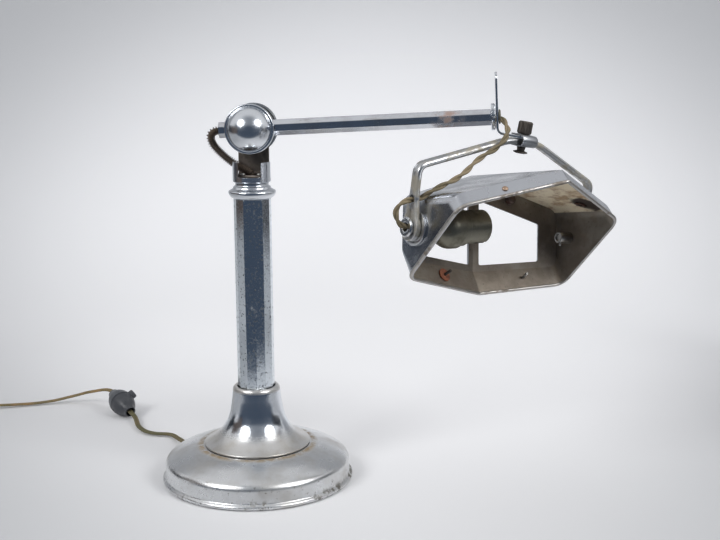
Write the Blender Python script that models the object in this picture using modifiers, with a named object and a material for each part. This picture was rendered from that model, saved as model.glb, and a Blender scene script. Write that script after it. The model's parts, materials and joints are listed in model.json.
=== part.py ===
"""Articulated desk lamp: weighted round base, twelve-sided column, ball joint, sliding arm,
a hanger strap with a clamp, a bent yoke and a folded six-cornered shade with a bayonet lampholder.

Sizes are in millimetres (MM turns them into Blender's metres). +Z is up. The origin is the centre
of the base on the table. The arm points along +X, turned a little towards -Y by HEAD_YAW.
Each moving body hangs from an empty that sits on its joint's axis.
"""
import math

import bmesh
import bpy
from mathutils import Matrix, Vector

MM = 0.001

# Rest position of the joints, in degrees
HEAD_YAW = -3.9
ARM_RISE = 2.7
CLAMP_LEAN = 12.7
YOKE_TURN = 36.2
SHADE_TILT = -55.2

# Base and column
BASE_R = 75.0
BELL_TOP_Z = 75.2
COLUMN_SIDES = 12
COLUMN_TURN = 6.4
COLUMN_R = 14.4
COLUMN_TOP_Z = 222.7
CABLE_R = 2.2

# Head and ball joint
BALL_Z = 275.4
BLOCK_R = 17.2
BLOCK_FRONT = 7.3
BLOCK_REAR = 9.5
FLANGE_R = 18.9
DOME_R = 16.6
DOME_HEIGHT = 14.0
PLATE_Y = 9.9
PLATE_T = 2.6

# Arm
ARM_AF = 12.0
ARM_REAR = -24.0
ARM_TIP = 180.0
ARM_GAP = 0.35

# Clamp point in the arm's frame, and the hanger strap that reaches it
CLAMP_X = 202.8
CLAMP_Z = -19.25
STRAP_X = 184.6
STRAP_TOP = 33.0
STRAP_HALF = 5.5
STRAP_T = 1.6
STRAP_NOSE = 6.0

# Yoke: a flat bar, its crown under the clamp and a foot on each pivot
YOKE_DROP = 70.5
YOKE_OFFSET = 7.0
YOKE_FLAT = 13.0
YOKE_KNEE = 83.5
YOKE_KNEE_Z = -26.0
YOKE_FOOT = 80.2
YOKE_W = 8.4
YOKE_T = 4.2
FOOT_R = 10.0
CORD_HOLE_H = 20.2

# Shade, in its own frame: x along the pivots, y down the rim plane, z from rim to back
HALF = 76.0
RIM_RIDGE = -71.5
RIM_EAVE = -38.3
RIM_DROP = 38.3
RIM_KEEL = 53.3
BEZEL = 12.0
RIDGE_BACK = (2.7, 79.0)
EAVE_BACK = (5.7, 51.7)
DROP_BACK = (34.7, 16.5)
KEEL_BACK = (49.5, 19.5)
CORNER_R = 9.0
SHEET = 1.5
PIVOT = (8.4, 23.5)
STRUT_HALF = 5.3
WINDOW_END = 58.0
WINDOW_TOP = 18.0
WINDOW_FOOT = 5.4

# Lampholder: it leans about its seat on the nipple, towards a way round the pivot line
HOLDER_SEAT = -62.0
HOLDER_TILT = 5.5
HOLDER_WAY = 139.3
BARREL_END = -15.2

# In-line switch and the cables on the table
SWITCH_AT = (-141.0, 157.0, 11.8)
SWITCH_AXIS = (-0.575, 0.787, 0.225)
SWITCH_LEN = 38.0
SWITCH_R = 11.0
PLUG_AT = (-322.0, 176.0, 9.5)
PLUG_TURN = math.radians(4.5)

CABLE_Z = 6.9
EXIT_ANGLE = 140.0

# Object rotations that lay a turned piece's own Z along another axis
ALONG_X = (0.0, math.radians(90), 0.0)
ALONG_Y = (math.radians(-90), 0.0, 0.0)
TO_FRONT = (math.radians(90), 0.0, 0.0)


# ---------------------------------------------------------------- scene and materials

def clear_scene():
    for obj in list(bpy.data.objects):
        bpy.data.objects.remove(obj, do_unlink=True)


def new_collection(name):
    group = bpy.data.collections.new(name)
    bpy.context.scene.collection.children.link(group)
    return group


def make_material(name, color, roughness, metallic):
    mat = bpy.data.materials.new(name)
    mat.use_nodes = True
    shader = mat.node_tree.nodes["Principled BSDF"]
    shader.inputs["Base Color"].default_value = (*color, 1.0)
    shader.inputs["Roughness"].default_value = roughness
    shader.inputs["Metallic"].default_value = metallic
    mat.diffuse_color = (*color, 1.0)
    return mat


clear_scene()
PARTS = new_collection("desk_lamp")
CUTTERS = new_collection("cutters")

CHROME = ((0.62, 0.65, 0.68), 0.16, 1.0)
STEEL = ((0.42, 0.41, 0.40), 0.40, 1.0)
DARK_STEEL = ((0.12, 0.11, 0.10), 0.50, 1.0)
IRON = ((0.10, 0.10, 0.10), 0.75, 0.6)
ALUMINIUM = ((0.50, 0.52, 0.55), 0.38, 1.0)
BRASS = ((0.30, 0.28, 0.20), 0.45, 1.0)
CORD = ((0.30, 0.24, 0.12), 0.90, 0.0)
BAKELITE = ((0.03, 0.03, 0.035), 0.40, 0.0)
CERAMIC = ((0.55, 0.52, 0.45), 0.50, 0.0)
FELT = ((0.06, 0.09, 0.06), 0.95, 0.0)
FIBRE = ((0.42, 0.14, 0.06), 0.80, 0.0)


# ---------------------------------------------------------------- modelling helpers

def frame(name, parent=None, location=(0, 0, 0), rotation=(0, 0, 0)):
    """An empty on a joint's axis. Rotation is in degrees."""
    empty = bpy.data.objects.new(name, None)
    empty.empty_display_size = 10 * MM
    PARTS.objects.link(empty)
    empty.parent = parent
    empty.location = Vector(location) * MM
    empty.rotation_euler = [math.radians(a) for a in rotation]
    return empty


def place(obj, look, parent=None, location=(0, 0, 0), rotation=(0, 0, 0), group=PARTS):
    """Link an object, give it its material, and set it in its parent's frame (radians)."""
    group.objects.link(obj)
    obj.parent = parent
    obj.location = Vector(location) * MM
    obj.rotation_euler = rotation
    if look is not None:
        obj.data.materials.append(make_material(obj.name + "_finish", *look))
    return obj


def mesh_object(name, points, edges, faces):
    mesh = bpy.data.meshes.new(name)
    mesh.from_pydata([Vector(p) * MM for p in points], edges, faces)
    mesh.update()
    return bpy.data.objects.new(name, mesh)


def solidify(obj, thickness, offset=-1.0):
    mod = obj.modifiers.new("Thickness", "SOLIDIFY")
    mod.thickness = thickness * MM
    mod.offset = offset
    mod.use_even_offset = True
    return obj


def bevel(obj, width, segments=1):
    mod = obj.modifiers.new("Edges", "BEVEL")
    mod.width = width * MM
    mod.segments = segments
    mod.limit_method = "ANGLE"
    mod.angle_limit = math.radians(50)
    return obj


def turned(name, look, profile, parent=None, location=(0, 0, 0), rotation=(0, 0, 0),
           steps=32, wall=0.0, ring=False):
    """Revolve (radius, height) points, listed from the top down the outside.

    ring closes the profile into a loop; wall thickens an open one inwards.
    """
    points = [(radius, 0.0, height) for radius, height in profile]
    edges = [(i, i + 1) for i in range(len(points) - 1)]
    if ring:
        edges.append((len(points) - 1, 0))
    obj = mesh_object(name, points, edges, [])
    place(obj, look, parent, location, rotation)
    screw = obj.modifiers.new("Turn", "SCREW")
    screw.steps = steps
    screw.render_steps = steps
    screw.use_merge_vertices = True
    screw.merge_threshold = 0.00001
    screw.use_smooth_shade = steps > 12
    if wall:
        solidify(obj, wall)
    return obj


def rod(name, look, radius, low, high, parent=None, location=(0, 0, 0), rotation=(0, 0, 0), steps=16):
    """A plain round bar along its own Z from low to high."""
    profile = [(0, high), (radius, high), (radius, low), (0, low)]
    return turned(name, look, profile, parent, location, rotation, steps)


def sleeve(name, look, outer, inner, low, high, parent=None, location=(0, 0, 0), rotation=(0, 0, 0),
           steps=24):
    """A plain round tube along its own Z from low to high."""
    profile = [(inner, high), (outer, high), (outer, low), (inner, low)]
    return turned(name, look, profile, parent, location, rotation, steps, ring=True)


def cylinder_cutter(radius, low, high, parent, location=(0, 0, 0), rotation=(0, 0, 0), steps=16):
    body = bmesh.new()
    middle = Matrix.Translation((0, 0, (low + high) / 2 * MM))
    bmesh.ops.create_cone(body, cap_ends=True, segments=steps, radius1=radius * MM,
                          radius2=radius * MM, depth=(high - low) * MM, matrix=middle)
    return as_cutter(body, parent, location, rotation)


def box_cutter(low, high, parent, location=(0, 0, 0), rotation=(0, 0, 0)):
    low, high = Vector(low) * MM, Vector(high) * MM
    size = high - low
    body = bmesh.new()
    bmesh.ops.create_cube(body, size=1.0,
                          matrix=Matrix.Translation((low + high) / 2) @ Matrix.Diagonal((*size, 1.0)))
    return as_cutter(body, parent, location, rotation)


def prism_cutter(corners, depth, parent, location=(0, 0, 0)):
    """A prism on a flat polygon of corners, reaching depth to both sides of it."""
    corners = [Vector(c) for c in corners]
    normal = (corners[1] - corners[0]).cross(corners[2] - corners[0]).normalized()
    body = bmesh.new()
    base = [body.verts.new((c - normal * depth) * MM) for c in corners]
    face = body.faces.new(base)
    moved = bmesh.ops.extrude_face_region(body, geom=[face])["geom"]
    tops = [v for v in moved if isinstance(v, bmesh.types.BMVert)]
    bmesh.ops.translate(body, verts=tops, vec=normal * depth * 2 * MM)
    bmesh.ops.recalc_face_normals(body, faces=body.faces)
    return as_cutter(body, parent, location, (0, 0, 0))


def hex_nut(name, look, corner_r, bore, low, high, parent=None, rotation=(0, 0, 0)):
    nut = rod(name, look, corner_r, low, high, parent, rotation=rotation, steps=6)
    hole = cylinder_cutter(bore, low - 1, high + 1, parent, rotation=rotation, steps=20)
    return combine(nut, hole)


def as_cutter(body, parent, location, rotation):
    mesh = bpy.data.meshes.new("cutter")
    body.to_mesh(mesh)
    body.free()
    cutter = bpy.data.objects.new("cutter", mesh)
    place(cutter, None, parent, location, rotation, CUTTERS)
    cutter.display_type = "WIRE"
    cutter.hide_render = True
    return cutter


def combine(obj, *tools, operation="DIFFERENCE"):
    for tool in tools:
        mod = obj.modifiers.new("Shape", "BOOLEAN")
        mod.operation = operation
        mod.solver = "EXACT"
        mod.object = tool
    return obj


def bend(points, radius, steps=4):
    """Replace each inner corner of a path with a short curve that starts radius away from it."""
    path = [Vector(p) for p in points]
    out = [path[0]]
    for before, corner, after in zip(path, path[1:], path[2:]):
        start = corner + (before - corner).normalized() * radius
        end = corner + (after - corner).normalized() * radius
        for i in range(steps + 1):
            t = i / steps
            out.append(start * (1 - t) ** 2 + corner * (2 * t * (1 - t)) + end * t ** 2)
    return out + [path[-1]]


def strip(name, look, path, half_width, thickness, parent, location=(0, 0, 0), rotation=(0, 0, 0),
          round_start=False, round_end=False):
    """A flat bar: (x, z) points swept to both sides along Y, then thickened about its middle."""
    line = [Vector((p[0], 0, p[1])) for p in path]
    widths = half_width if isinstance(half_width, list) else [half_width] * len(line)
    stations = list(zip(line, widths))
    half_width = widths[-1]
    fan = [math.radians(a) for a in (12, 30, 50, 70)]
    if round_start:
        way = (line[1] - line[0]).normalized()
        ends = [(line[0] + way * half_width * (1 - math.cos(a)), half_width * math.sin(a)) for a in fan]
        stations[0] = (line[0] + way * half_width, half_width)
        stations = ends + stations
    if round_end:
        way = (line[-2] - line[-1]).normalized()
        ends = [(line[-1] + way * half_width * (1 - math.cos(a)), half_width * math.sin(a)) for a in fan]
        stations[-1] = (line[-1] + way * half_width, half_width)
        stations = stations + ends[::-1]
    points = []
    for point, reach in stations:
        points += [point + Vector((0, -reach, 0)), point + Vector((0, reach, 0))]
    count = len(stations)
    faces = [(2 * i, 2 * i + 2, 2 * i + 3, 2 * i + 1) for i in range(count - 1)]
    obj = mesh_object(name, points, [], faces)
    place(obj, look, parent, location, rotation)
    return solidify(obj, thickness, 0.0)


def wire(name, look, points, radius, parent=None, rings=1, smooth=4):
    """A cable: a smooth curve through the points."""
    curve = bpy.data.curves.new(name, "CURVE")
    curve.dimensions = "3D"
    curve.bevel_depth = radius * MM
    curve.bevel_resolution = rings
    curve.resolution_u = smooth
    curve.use_fill_caps = True
    spline = curve.splines.new("BEZIER")
    spline.bezier_points.add(len(points) - 1)
    for knot, point in zip(spline.bezier_points, points):
        knot.co = Vector(point) * MM
        knot.handle_left_type = "AUTO"
        knot.handle_right_type = "AUTO"
    return place(bpy.data.objects.new(name, curve), look, parent)


# ---------------------------------------------------------------- base and column

def exit_way():
    """Level direction in which the cable leaves the base."""
    angle = math.radians(EXIT_ANGLE)
    return Vector((math.cos(angle), math.sin(angle), 0.0))


def exit_turn():
    """Rotation that lays Z along the cable's way out of the base."""
    return (math.radians(90), 0.0, math.radians(EXIT_ANGLE + 90))


def build_base():
    rim = [(14.0, 29.0), (44.0, 28.4), (58.0, 24.8), (66.0, 21.2), (70.5, 18.4), (72.3, 15.6),
           (72.9, 4.8), (74.3, 3.9), (BASE_R, 3.0), (BASE_R, 1.6), (74.0, 0.6)]
    shell = turned("base_shell", CHROME, rim, steps=36, wall=1.4)
    combine(shell, cylinder_cutter(4.0, 60.0, 90.0, None, (0, 0, CABLE_Z), exit_turn()))
    weight = turned("base_weight", IRON,
                    [(20.5, 23.6), (48.0, 23.0), (63.0, 17.8), (68.0, 13.0), (68.0, 4.2), (20.5, 4.2)],
                    steps=32, ring=True)
    combine(weight, box_cutter((10.0, -3.2, 2.0), (80.0, 3.2, 10.4), None,
                               rotation=(0, 0, math.radians(EXIT_ANGLE))))
    rod("base_cover", FELT, 70.4, 0.0, 3.6, steps=32)


def build_column():
    bell = [(15.2, BELL_TOP_Z), (17.6, 74.9), (18.6, 71.8), (19.4, 64.0), (20.9, 55.0),
            (23.0, 48.0), (26.5, 42.0), (31.0, 36.6), (36.0, 32.8), (41.5, 30.6)]
    turned("base_bell", CHROME, bell, steps=32, wall=1.2)
    sleeve("column_tube", CHROME, COLUMN_R, 12.4, 29.4, COLUMN_TOP_Z,
           rotation=(0, 0, math.radians(COLUMN_TURN)), steps=COLUMN_SIDES)
    sleeve("draw_tube", STEEL, 6.0, 4.2, 19.2, 225.6, steps=20)
    hex_nut("draw_nut", STEEL, 18.6, 6.35, 20.6, 26.6)
    collar = [(12.9, 234.4), (12.9, 232.7), (14.4, 231.8), (14.7, 230.4), (16.2, 229.6),
              (18.15, 228.3), (18.15, 226.7), (17.2, 224.8), (15.6, 223.1), (11.9, 223.1),
              (11.9, 214.0), (6.4, 214.0), (6.4, 226.0), (9.4, 226.0), (9.4, 234.4)]
    turned("column_collar", CHROME, collar, steps=24, ring=True)


# ---------------------------------------------------------------- switch, plug and table cables

def switch_axis():
    return Vector(SWITCH_AXIS).normalized()


def switch_frame():
    """Empty at the switch's middle: Z along the cable, X along the push bar, 35 degrees up."""
    axis = switch_axis()
    side = axis.cross(Vector((0, 0, 1))).normalized()
    up = side.cross(axis)
    bar = side * math.cos(math.radians(35)) + up * math.sin(math.radians(35))
    turn = Matrix((bar, axis.cross(bar), axis)).transposed().to_euler()
    return frame("switch", None, SWITCH_AT, [math.degrees(a) for a in turn])


def build_switch():
    at = switch_frame()
    half = SWITCH_LEN / 2
    outline = [(4.4, half)]
    for i in range(7):
        angle = math.radians(24 + 22 * i)
        outline.append((SWITCH_R * math.sin(angle), (half - 2.0) * math.cos(angle)))
    outline.append((4.4, -half))
    for name, low, high in (("switch_lower", -0.15, 30.0), ("switch_upper", -30.0, 0.15)):
        shell = turned(name, BAKELITE, outline, at, steps=20, wall=1.7)
        combine(shell, box_cutter((-30, -30, low), (30, 30, high), at),
                box_cutter((-14.0, -3.4, -4.2), (14.0, 3.4, 4.2), at))
    slider = frame("switch_slide", at, (1.8, 0.0, 0.0))
    box_part("switch_bar", BAKELITE, (-12.7, -3.0, -3.7), (12.7, 3.0, 3.7), slider, 0.9)
    box_part("switch_contacts", BRASS, (-3.0, -5.3, -9.0), (3.0, -4.1, 9.0), at, 0.3)


def build_plug():
    at = frame("plug", None, PLUG_AT, (0, -90, -math.degrees(PLUG_TURN)))
    outline = [(0.0, 3.2), (8.0, 3.2), (9.2, 2.0), (9.0, -8.0), (5.4, -12.0), (4.6, -19.5), (0.0, -19.5)]
    body = turned("plug_body", BAKELITE, outline, at, steps=20)
    combine(body, cylinder_cutter(2.7, -25.0, -9.0, at))
    prongs = [Vector((0, 5.2, 0)), Vector((0, -5.2, 0))]
    for spot in prongs:
        combine(body, cylinder_cutter(2.3, -6.0, 6.0, at, spot, steps=12))
    prong = [(0, 17.0), (1.2, 17.0), (1.95, 16.0), (1.95, -5.6), (0, -5.6)]
    fasteners(("plug_pin_live", "plug_pin_neutral"), BRASS, prong, [(spot, (0, 0, 1)) for spot in prongs], at)


def build_table_cables():
    out, axis = exit_way(), switch_axis()
    lift = Vector((0, 0, CABLE_Z))
    low_end = Vector(SWITCH_AT) - axis * (SWITCH_LEN / 2 - 2)
    high_end = Vector(SWITCH_AT) + axis * (SWITCH_LEN / 2 - 2)
    feeder = [(0, 0, 229), (0, 0, 120), (0, 0, 24), out * 3 + Vector((0, 0, 12.8)),
              out * 12 + Vector((0, 0, 8.2)), out * 22 + lift, out * 60 + lift, out * 82 + lift,
              (-76, 78, 4.0), (-86, 93, 2.6), (-102, 97, 2.6), (-114, 108, 3.0),
              low_end - axis * 9, low_end]
    wire("feeder_cable", CORD, feeder, CABLE_R)
    into_plug = Vector((-math.cos(PLUG_TURN), math.sin(PLUG_TURN), 0))
    mouth = Vector(PLUG_AT) - into_plug * 19.5
    supply = [high_end, high_end + axis * 9, (-176, 186, 14.0), (-196, 195, 7.0), (-218, 191, 3.0),
              (-250, 182, 2.6), (-274, 175.5, 4.6), mouth - into_plug * 9 - Vector((0, 0, 1.2)),
              mouth, mouth + into_plug * 9]
    wire("supply_cable", CORD, supply, CABLE_R)


# ---------------------------------------------------------------- head and ball joint

def build_head(head, ball):
    cup = [(4.4, 237.4), (12.9, 237.4), (12.9, 250.6), (14.0, 250.6), (14.65, 249.8), (14.65, 235.6),
           (13.4, 234.8), (9.0, 234.8), (9.0, 226.4), (4.4, 226.4)]
    crown = turned("head_crown", CHROME, cup, head, steps=24, ring=True)
    combine(crown, box_cutter((-20, -1.4, 237.6), (20, 20, 260), head),
            box_cutter((-8.7, -20, 239.4), (8.7, 0, 260), head))
    rear = PLATE_Y + PLATE_T / 2
    tongue = [(-7.6, 239.3), (-1.0, 239.3)]
    line = bend([(0.2, 0, 239.3), (rear, 0, 239.3), (rear, 0, 250.0)], 3.4)
    path = tongue + [(p.x, p.z) for p in line] + [(rear, 254.0), (rear, BALL_Z + 11.8)]
    widths = [8.0] * len(tongue) + [11.8] * (len(path) - len(tongue))
    plate = strip("head_plate", DARK_STEEL, path, widths, PLATE_T, head,
                  rotation=(0, 0, math.radians(90)), round_end=True)
    rivets = [Vector((x, -4.3, 0)) for x in (-6.3, 6.3)]
    combine(plate, cylinder_cutter(4.7, 230.0, 246.0, head),
            cylinder_cutter(2.6, 0.0, 30.0, ball, rotation=ALONG_Y))
    for spot in rivets:
        combine(plate, cylinder_cutter(1.35, 230.0, 246.0, head, spot, steps=8))
        combine(crown, cylinder_cutter(1.35, 235.4, 246.0, head, spot, steps=8))
    stem = [(0, 242.2), (1.5, 241.9), (1.9, 241.0), (1.05, 241.0), (1.05, 235.8), (0, 235.8)]
    fasteners(("plate_rivet_left", "plate_rivet_right"), STEEL, stem, [(spot, (0, 0, 1)) for spot in rivets], head)
    dome("rear_dome", ball, ALONG_Y, PLATE_Y + PLATE_T + 0.4)


def dome(name, parent, rotation, base):
    """A pressed cap with a rolled rim, standing off the joint's middle by base."""
    radius = (DOME_R ** 2 + DOME_HEIGHT ** 2) / (2 * DOME_HEIGHT)
    reach = math.asin(DOME_R / radius)
    foot = base + 1.5
    outline = []
    for i in range(6):
        angle = reach * i / 5
        outline.append((radius * math.sin(angle), foot + DOME_HEIGHT - radius * (1 - math.cos(angle))))
    outline += [(18.2, foot + 0.3), (FLANGE_R, foot - 0.4), (FLANGE_R, base)]
    turned(name, CHROME, outline, parent, rotation=rotation, steps=24, wall=1.1)


def build_guide(guide):
    block = rod("guide_block", STEEL, BLOCK_R, -BLOCK_FRONT, BLOCK_REAR, guide, rotation=ALONG_Y, steps=28)
    across = ARM_AF / 2 + ARM_GAP
    bore = cylinder_cutter(across / math.cos(math.pi / 8), -30, 30, guide, rotation=octagon_turn(), steps=8)
    combine(block, bore, cylinder_cutter(2.3, 5.0, 12.0, guide, rotation=ALONG_Y, steps=12))
    dome("front_dome", guide, TO_FRONT, BLOCK_FRONT + 0.4)
    rear = PLATE_Y + PLATE_T
    rod("pivot_screw", STEEL, 2.0, across + 0.3, rear + 7.6, guide, rotation=ALONG_Y, steps=12)
    sleeve("spring_washer", STEEL, 8.5, 2.4, rear + 0.4, rear + 1.2, guide, rotation=ALONG_Y)
    hex_nut("pivot_nut", STEEL, 5.4, 2.35, rear + 1.5, rear + 5.6, guide, ALONG_Y)


def octagon_turn():
    """Lays an eight-sided bar along X with one flat facing up and one facing the front."""
    return (Matrix.Rotation(math.radians(90), 3, "Y") @ Matrix.Rotation(math.pi / 8, 3, "Z")).to_euler()


# ---------------------------------------------------------------- arm and hanger

def build_arm(arm):
    outer = ARM_AF / 2 / math.cos(math.pi / 8)
    sleeve("arm_tube", CHROME, outer, outer - 1.1, ARM_REAR, ARM_TIP, arm, rotation=octagon_turn(), steps=8)
    disc = [(3.7, 183.3), (9.4, 183.3), (10.0, 182.7), (10.0, 180.4), (4.7, 180.4), (4.7, 172.0),
            (3.7, 172.0)]
    flange = turned("tip_flange", CHROME, disc, arm, rotation=ALONG_X, steps=20, ring=True)
    screws = []
    for degrees in (0, 44):
        angle = math.radians(degrees)
        way = Vector((0, -math.cos(angle), -math.sin(angle)))
        screws.append((Vector((181.85, 0, 0)), way))
        combine(flange, cylinder_cutter(1.15, 6.0, 14.0, arm, (181.85, 0, 0), way_turn(way), steps=10))
    stud = [(0, 11.0), (0.85, 11.0), (0.85, 6.3), (0, 6.3)]
    fasteners(("tip_screw_low", "tip_screw_side"), STEEL, stud, screws, arm)
    eyelet = [(2.4, 187.3), (4.9, 187.3), (5.4, 186.8), (5.4, 186.0), (3.3, 185.8), (3.3, 173.5),
              (2.4, 173.5)]
    turned("tip_eyelet", BRASS, eyelet, arm, rotation=ALONG_X, steps=20, ring=True)
    wire("arm_cord", CORD, [(ARM_REAR + 12, 0, 0), (80, 0, 0), (170, 0, 0)], 1.8, arm)


def way_turn(way):
    """Euler rotation that lays Z along a direction."""
    return Vector(way).to_track_quat("Z", "Y").to_euler()


def clamp_axes():
    """Forward and upward directions of the clamp, as (x, z) in the arm's frame."""
    lean = math.radians(CLAMP_LEAN)
    return Vector((math.cos(lean), 0, -math.sin(lean))), Vector((math.sin(lean), 0, math.cos(lean)))


def build_strap(strap):
    forward, up = clamp_axes()
    clamp = Vector((CLAMP_X, 0, CLAMP_Z))
    level = clamp + up * (YOKE_T / 2 + 0.3 + STRAP_T / 2)
    corner = level + forward * ((STRAP_X - level.x) / forward.x)
    line = bend([(STRAP_X, 0, STRAP_TOP), corner, level + forward * STRAP_NOSE], 4.2)
    path = [(p.x - ARM_TIP, p.z) for p in line]
    bar = strip("hanger_strap", CHROME, path, STRAP_HALF, STRAP_T, strap, round_start=True, round_end=True)
    combine(bar, cylinder_cutter(3.65, 0.0, 12.0, strap, rotation=ALONG_X))
    hole_at = clamp - Vector((ARM_TIP, 0, 0))
    combine(bar, cylinder_cutter(2.3, -3.0, 9.0, strap, hole_at, way_turn(up), steps=12))


# ---------------------------------------------------------------- clamp and yoke

def build_clamp(yoke, nut_turn):
    top = YOKE_T / 2 + STRAP_T + 0.6 + 0.55
    bottom = -YOKE_T / 2 - 0.3 - 0.55
    middle, radius = (top + bottom) / 2, (top - bottom) / 2
    fold = [(-5.2 - radius * math.sin(a), middle + radius * math.cos(a))
            for a in [math.pi * i / 8 for i in range(9)]]
    path = [(6.0, top)] + fold + [(6.0, bottom)]
    clip = strip("clip", ALUMINIUM, path, 7.0, 1.1, yoke, rotation=(0, 0, math.radians(90)))
    combine(clip, cylinder_cutter(2.3, -9.0, 12.0, yoke, steps=12))
    under = bottom - 0.55 - 0.3
    screw = [(0, 13.6), (1.9, 13.6), (1.9, under), (3.3, under), (2.8, under - 2.8), (5.4, under - 3.6),
             (5.4, under - 4.4), (3.4, under - 5.0), (0, under - 5.2)]
    turned("clamp_screw", DARK_STEEL, screw, yoke, steps=20)
    low = top + 0.55 + 0.35
    knob = [(2.3, low + 9.4), (4.5, low + 9.4), (5.4, low + 8.5), (5.4, low + 0.9), (4.5, low), (2.3, low)]
    nut = turned("thumb_nut", DARK_STEEL, knob, nut_turn, steps=16, ring=True)
    for i in range(8):
        angle = math.pi * (i + 0.5) / 4
        spot = (5.75 * math.cos(angle), 5.75 * math.sin(angle), 0)
        combine(nut, cylinder_cutter(0.95, low - 2, low + 12, nut_turn, spot, steps=6))


def pivot_x(side):
    return -YOKE_OFFSET + side * YOKE_FOOT


def build_yoke(yoke):
    left, right = pivot_x(-1), pivot_x(1)
    knee = YOKE_KNEE - YOKE_FOOT
    ends = [Vector((left, 0, -YOKE_DROP)), Vector((right, 0, -YOKE_DROP))]
    knees = [Vector((left - knee, 0, YOKE_KNEE_Z)), Vector((right + knee, 0, YOKE_KNEE_Z))]
    top = bend([ends[0].lerp(knees[0], 0.7), knees[0], (-YOKE_FLAT, 0, 0), (YOKE_FLAT, 0, 0), knees[1],
                ends[1].lerp(knees[1], 0.7)], 5.0, steps=3)
    flare = [(0.0, 7.6), (0.28, 6.6), (0.48, 4.6)]
    line = [ends[0].lerp(knees[0], t) for t, _ in flare] + top + [ends[1].lerp(knees[1], t) for t, _ in flare[::-1]]
    widths = [w for _, w in flare] + [YOKE_W / 2] * len(top) + [w for _, w in flare[::-1]]
    bar = strip("yoke_bar", CHROME, [(p.x, p.z) for p in line], widths, YOKE_T, yoke)
    bevel(bar, 1.0)
    for side in (-1, 1):
        at = (pivot_x(side), 0, -YOKE_DROP)
        foot = cylinder_cutter(FOOT_R, -YOKE_T / 2, YOKE_T / 2, yoke, at, ALONG_X, steps=28)
        combine(bar, foot, operation="UNION")
        bore = 5.4 if side < 0 else 2.9
        combine(bar, cylinder_cutter(bore, -6, 6, yoke, at, ALONG_X, steps=20))
    combine(bar, cylinder_cutter(2.3, -6, 6, yoke, steps=12),
            cylinder_cutter(3.1, -10, 6, yoke, (left, 0, -YOKE_DROP + CORD_HOLE_H), ALONG_X, steps=12))


# ---------------------------------------------------------------- shade

def shade_corners(ridge, eave, drop, keel):
    """Six corners from four (y, z) pairs: E ridge, D and F eave, C and A drop, B keel."""
    return [Vector((0, *ridge)), Vector((HALF, *eave)), Vector((HALF, *drop)), Vector((0, *keel)),
            Vector((-HALF, *drop)), Vector((-HALF, *eave))]


def rounded_ring(corners):
    """The outline as points, with the four side corners rounded and ridge and keel left sharp."""
    out = []
    for i, corner in enumerate(corners):
        before, after = corners[i - 1], corners[(i + 1) % 6]
        if i in (0, 3):
            out.append(corner)
            continue
        start = corner + (before - corner).normalized() * CORNER_R
        end = corner + (after - corner).normalized() * CORNER_R
        for t in (0.0, 0.25, 0.5, 0.75, 1.0):
            out.append(start * (1 - t) ** 2 + corner * (2 * t * (1 - t)) + end * t ** 2)
    return out


def shade_rings():
    return [shade_corners((RIM_RIDGE, 0), (RIM_EAVE, 0), (RIM_DROP, 0), (RIM_KEEL, 0)),
            shade_corners((RIM_RIDGE, BEZEL), (RIM_EAVE, BEZEL), (RIM_DROP - 0.5, 2.4),
                          (RIM_KEEL - 0.5, 2.4)),
            shade_corners(RIDGE_BACK, EAVE_BACK, DROP_BACK, KEEL_BACK)]


def shade_place():
    """The shell is drawn from the rim; this moves its pivot line onto the shade's axis."""
    return Vector((0, -PIVOT[0], -PIVOT[1]))


def window(side):
    """Corners of the opening in one half of the back, a constant margin inside the half."""
    ridge, eave, drop, keel = shade_rings()[2][:4]
    corners = []
    for x in (STRUT_HALF, WINDOW_END):
        top = ridge.lerp(eave, x / HALF)
        bottom = keel.lerp(drop, x / HALF)
        way = (bottom - top).normalized()
        corners.append((top + way * WINDOW_TOP, bottom - way * WINDOW_FOOT))
    points = [corners[0][0], corners[1][0], corners[1][1], corners[0][1]]
    return [Vector((side * p.x, p.y, p.z)) for p in points]


def build_shade_shell(shade):
    rings = [rounded_ring(corners) for corners in shade_rings()]
    count = len(rings[0])
    points = [p for ring in rings for p in ring]
    faces = []
    for level in range(2):
        for i in range(count):
            a, b = level * count + i, level * count + (i + 1) % count
            faces.append((a, b, b + count, a + count))
    back = 2 * count
    keel = back + count // 2
    faces.append(tuple(range(back, keel + 1)))
    faces.append(tuple(list(range(keel, back + count)) + [back]))
    mesh = mesh_object("shade_shell", points, [], faces)
    body = bmesh.new()
    body.from_mesh(mesh.data)
    bmesh.ops.recalc_face_normals(body, faces=body.faces)
    body.faces.ensure_lookup_table()
    if body.faces[0].normal.y > 0:
        bmesh.ops.reverse_faces(body, faces=body.faces)
    body.to_mesh(mesh.data)
    body.free()
    shell = place(mesh, ALUMINIUM, shade, shade_place())
    solidify(shell, SHEET)
    for side in (-1, 1):
        combine(shell, prism_cutter(window(side), 6.0, shade, shade_place()))
    combine(shell, cylinder_cutter(5.4, -90, -65, shade, rotation=ALONG_X, steps=20),
            cylinder_cutter(2.9, 65, 90, shade, rotation=ALONG_X))
    return shell


def surface_spot(a, b, c, across, down):
    """A point on the plane of three corners, and the plane's normal on the outer side."""
    point = a + (b - a) * across + (c - a) * down
    normal = (b - a).cross(c - a).normalized()
    inside = Vector((0, 0, 20.0))
    if normal.dot(point - inside) < 0:
        normal = -normal
    return point + shade_place(), normal


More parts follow.
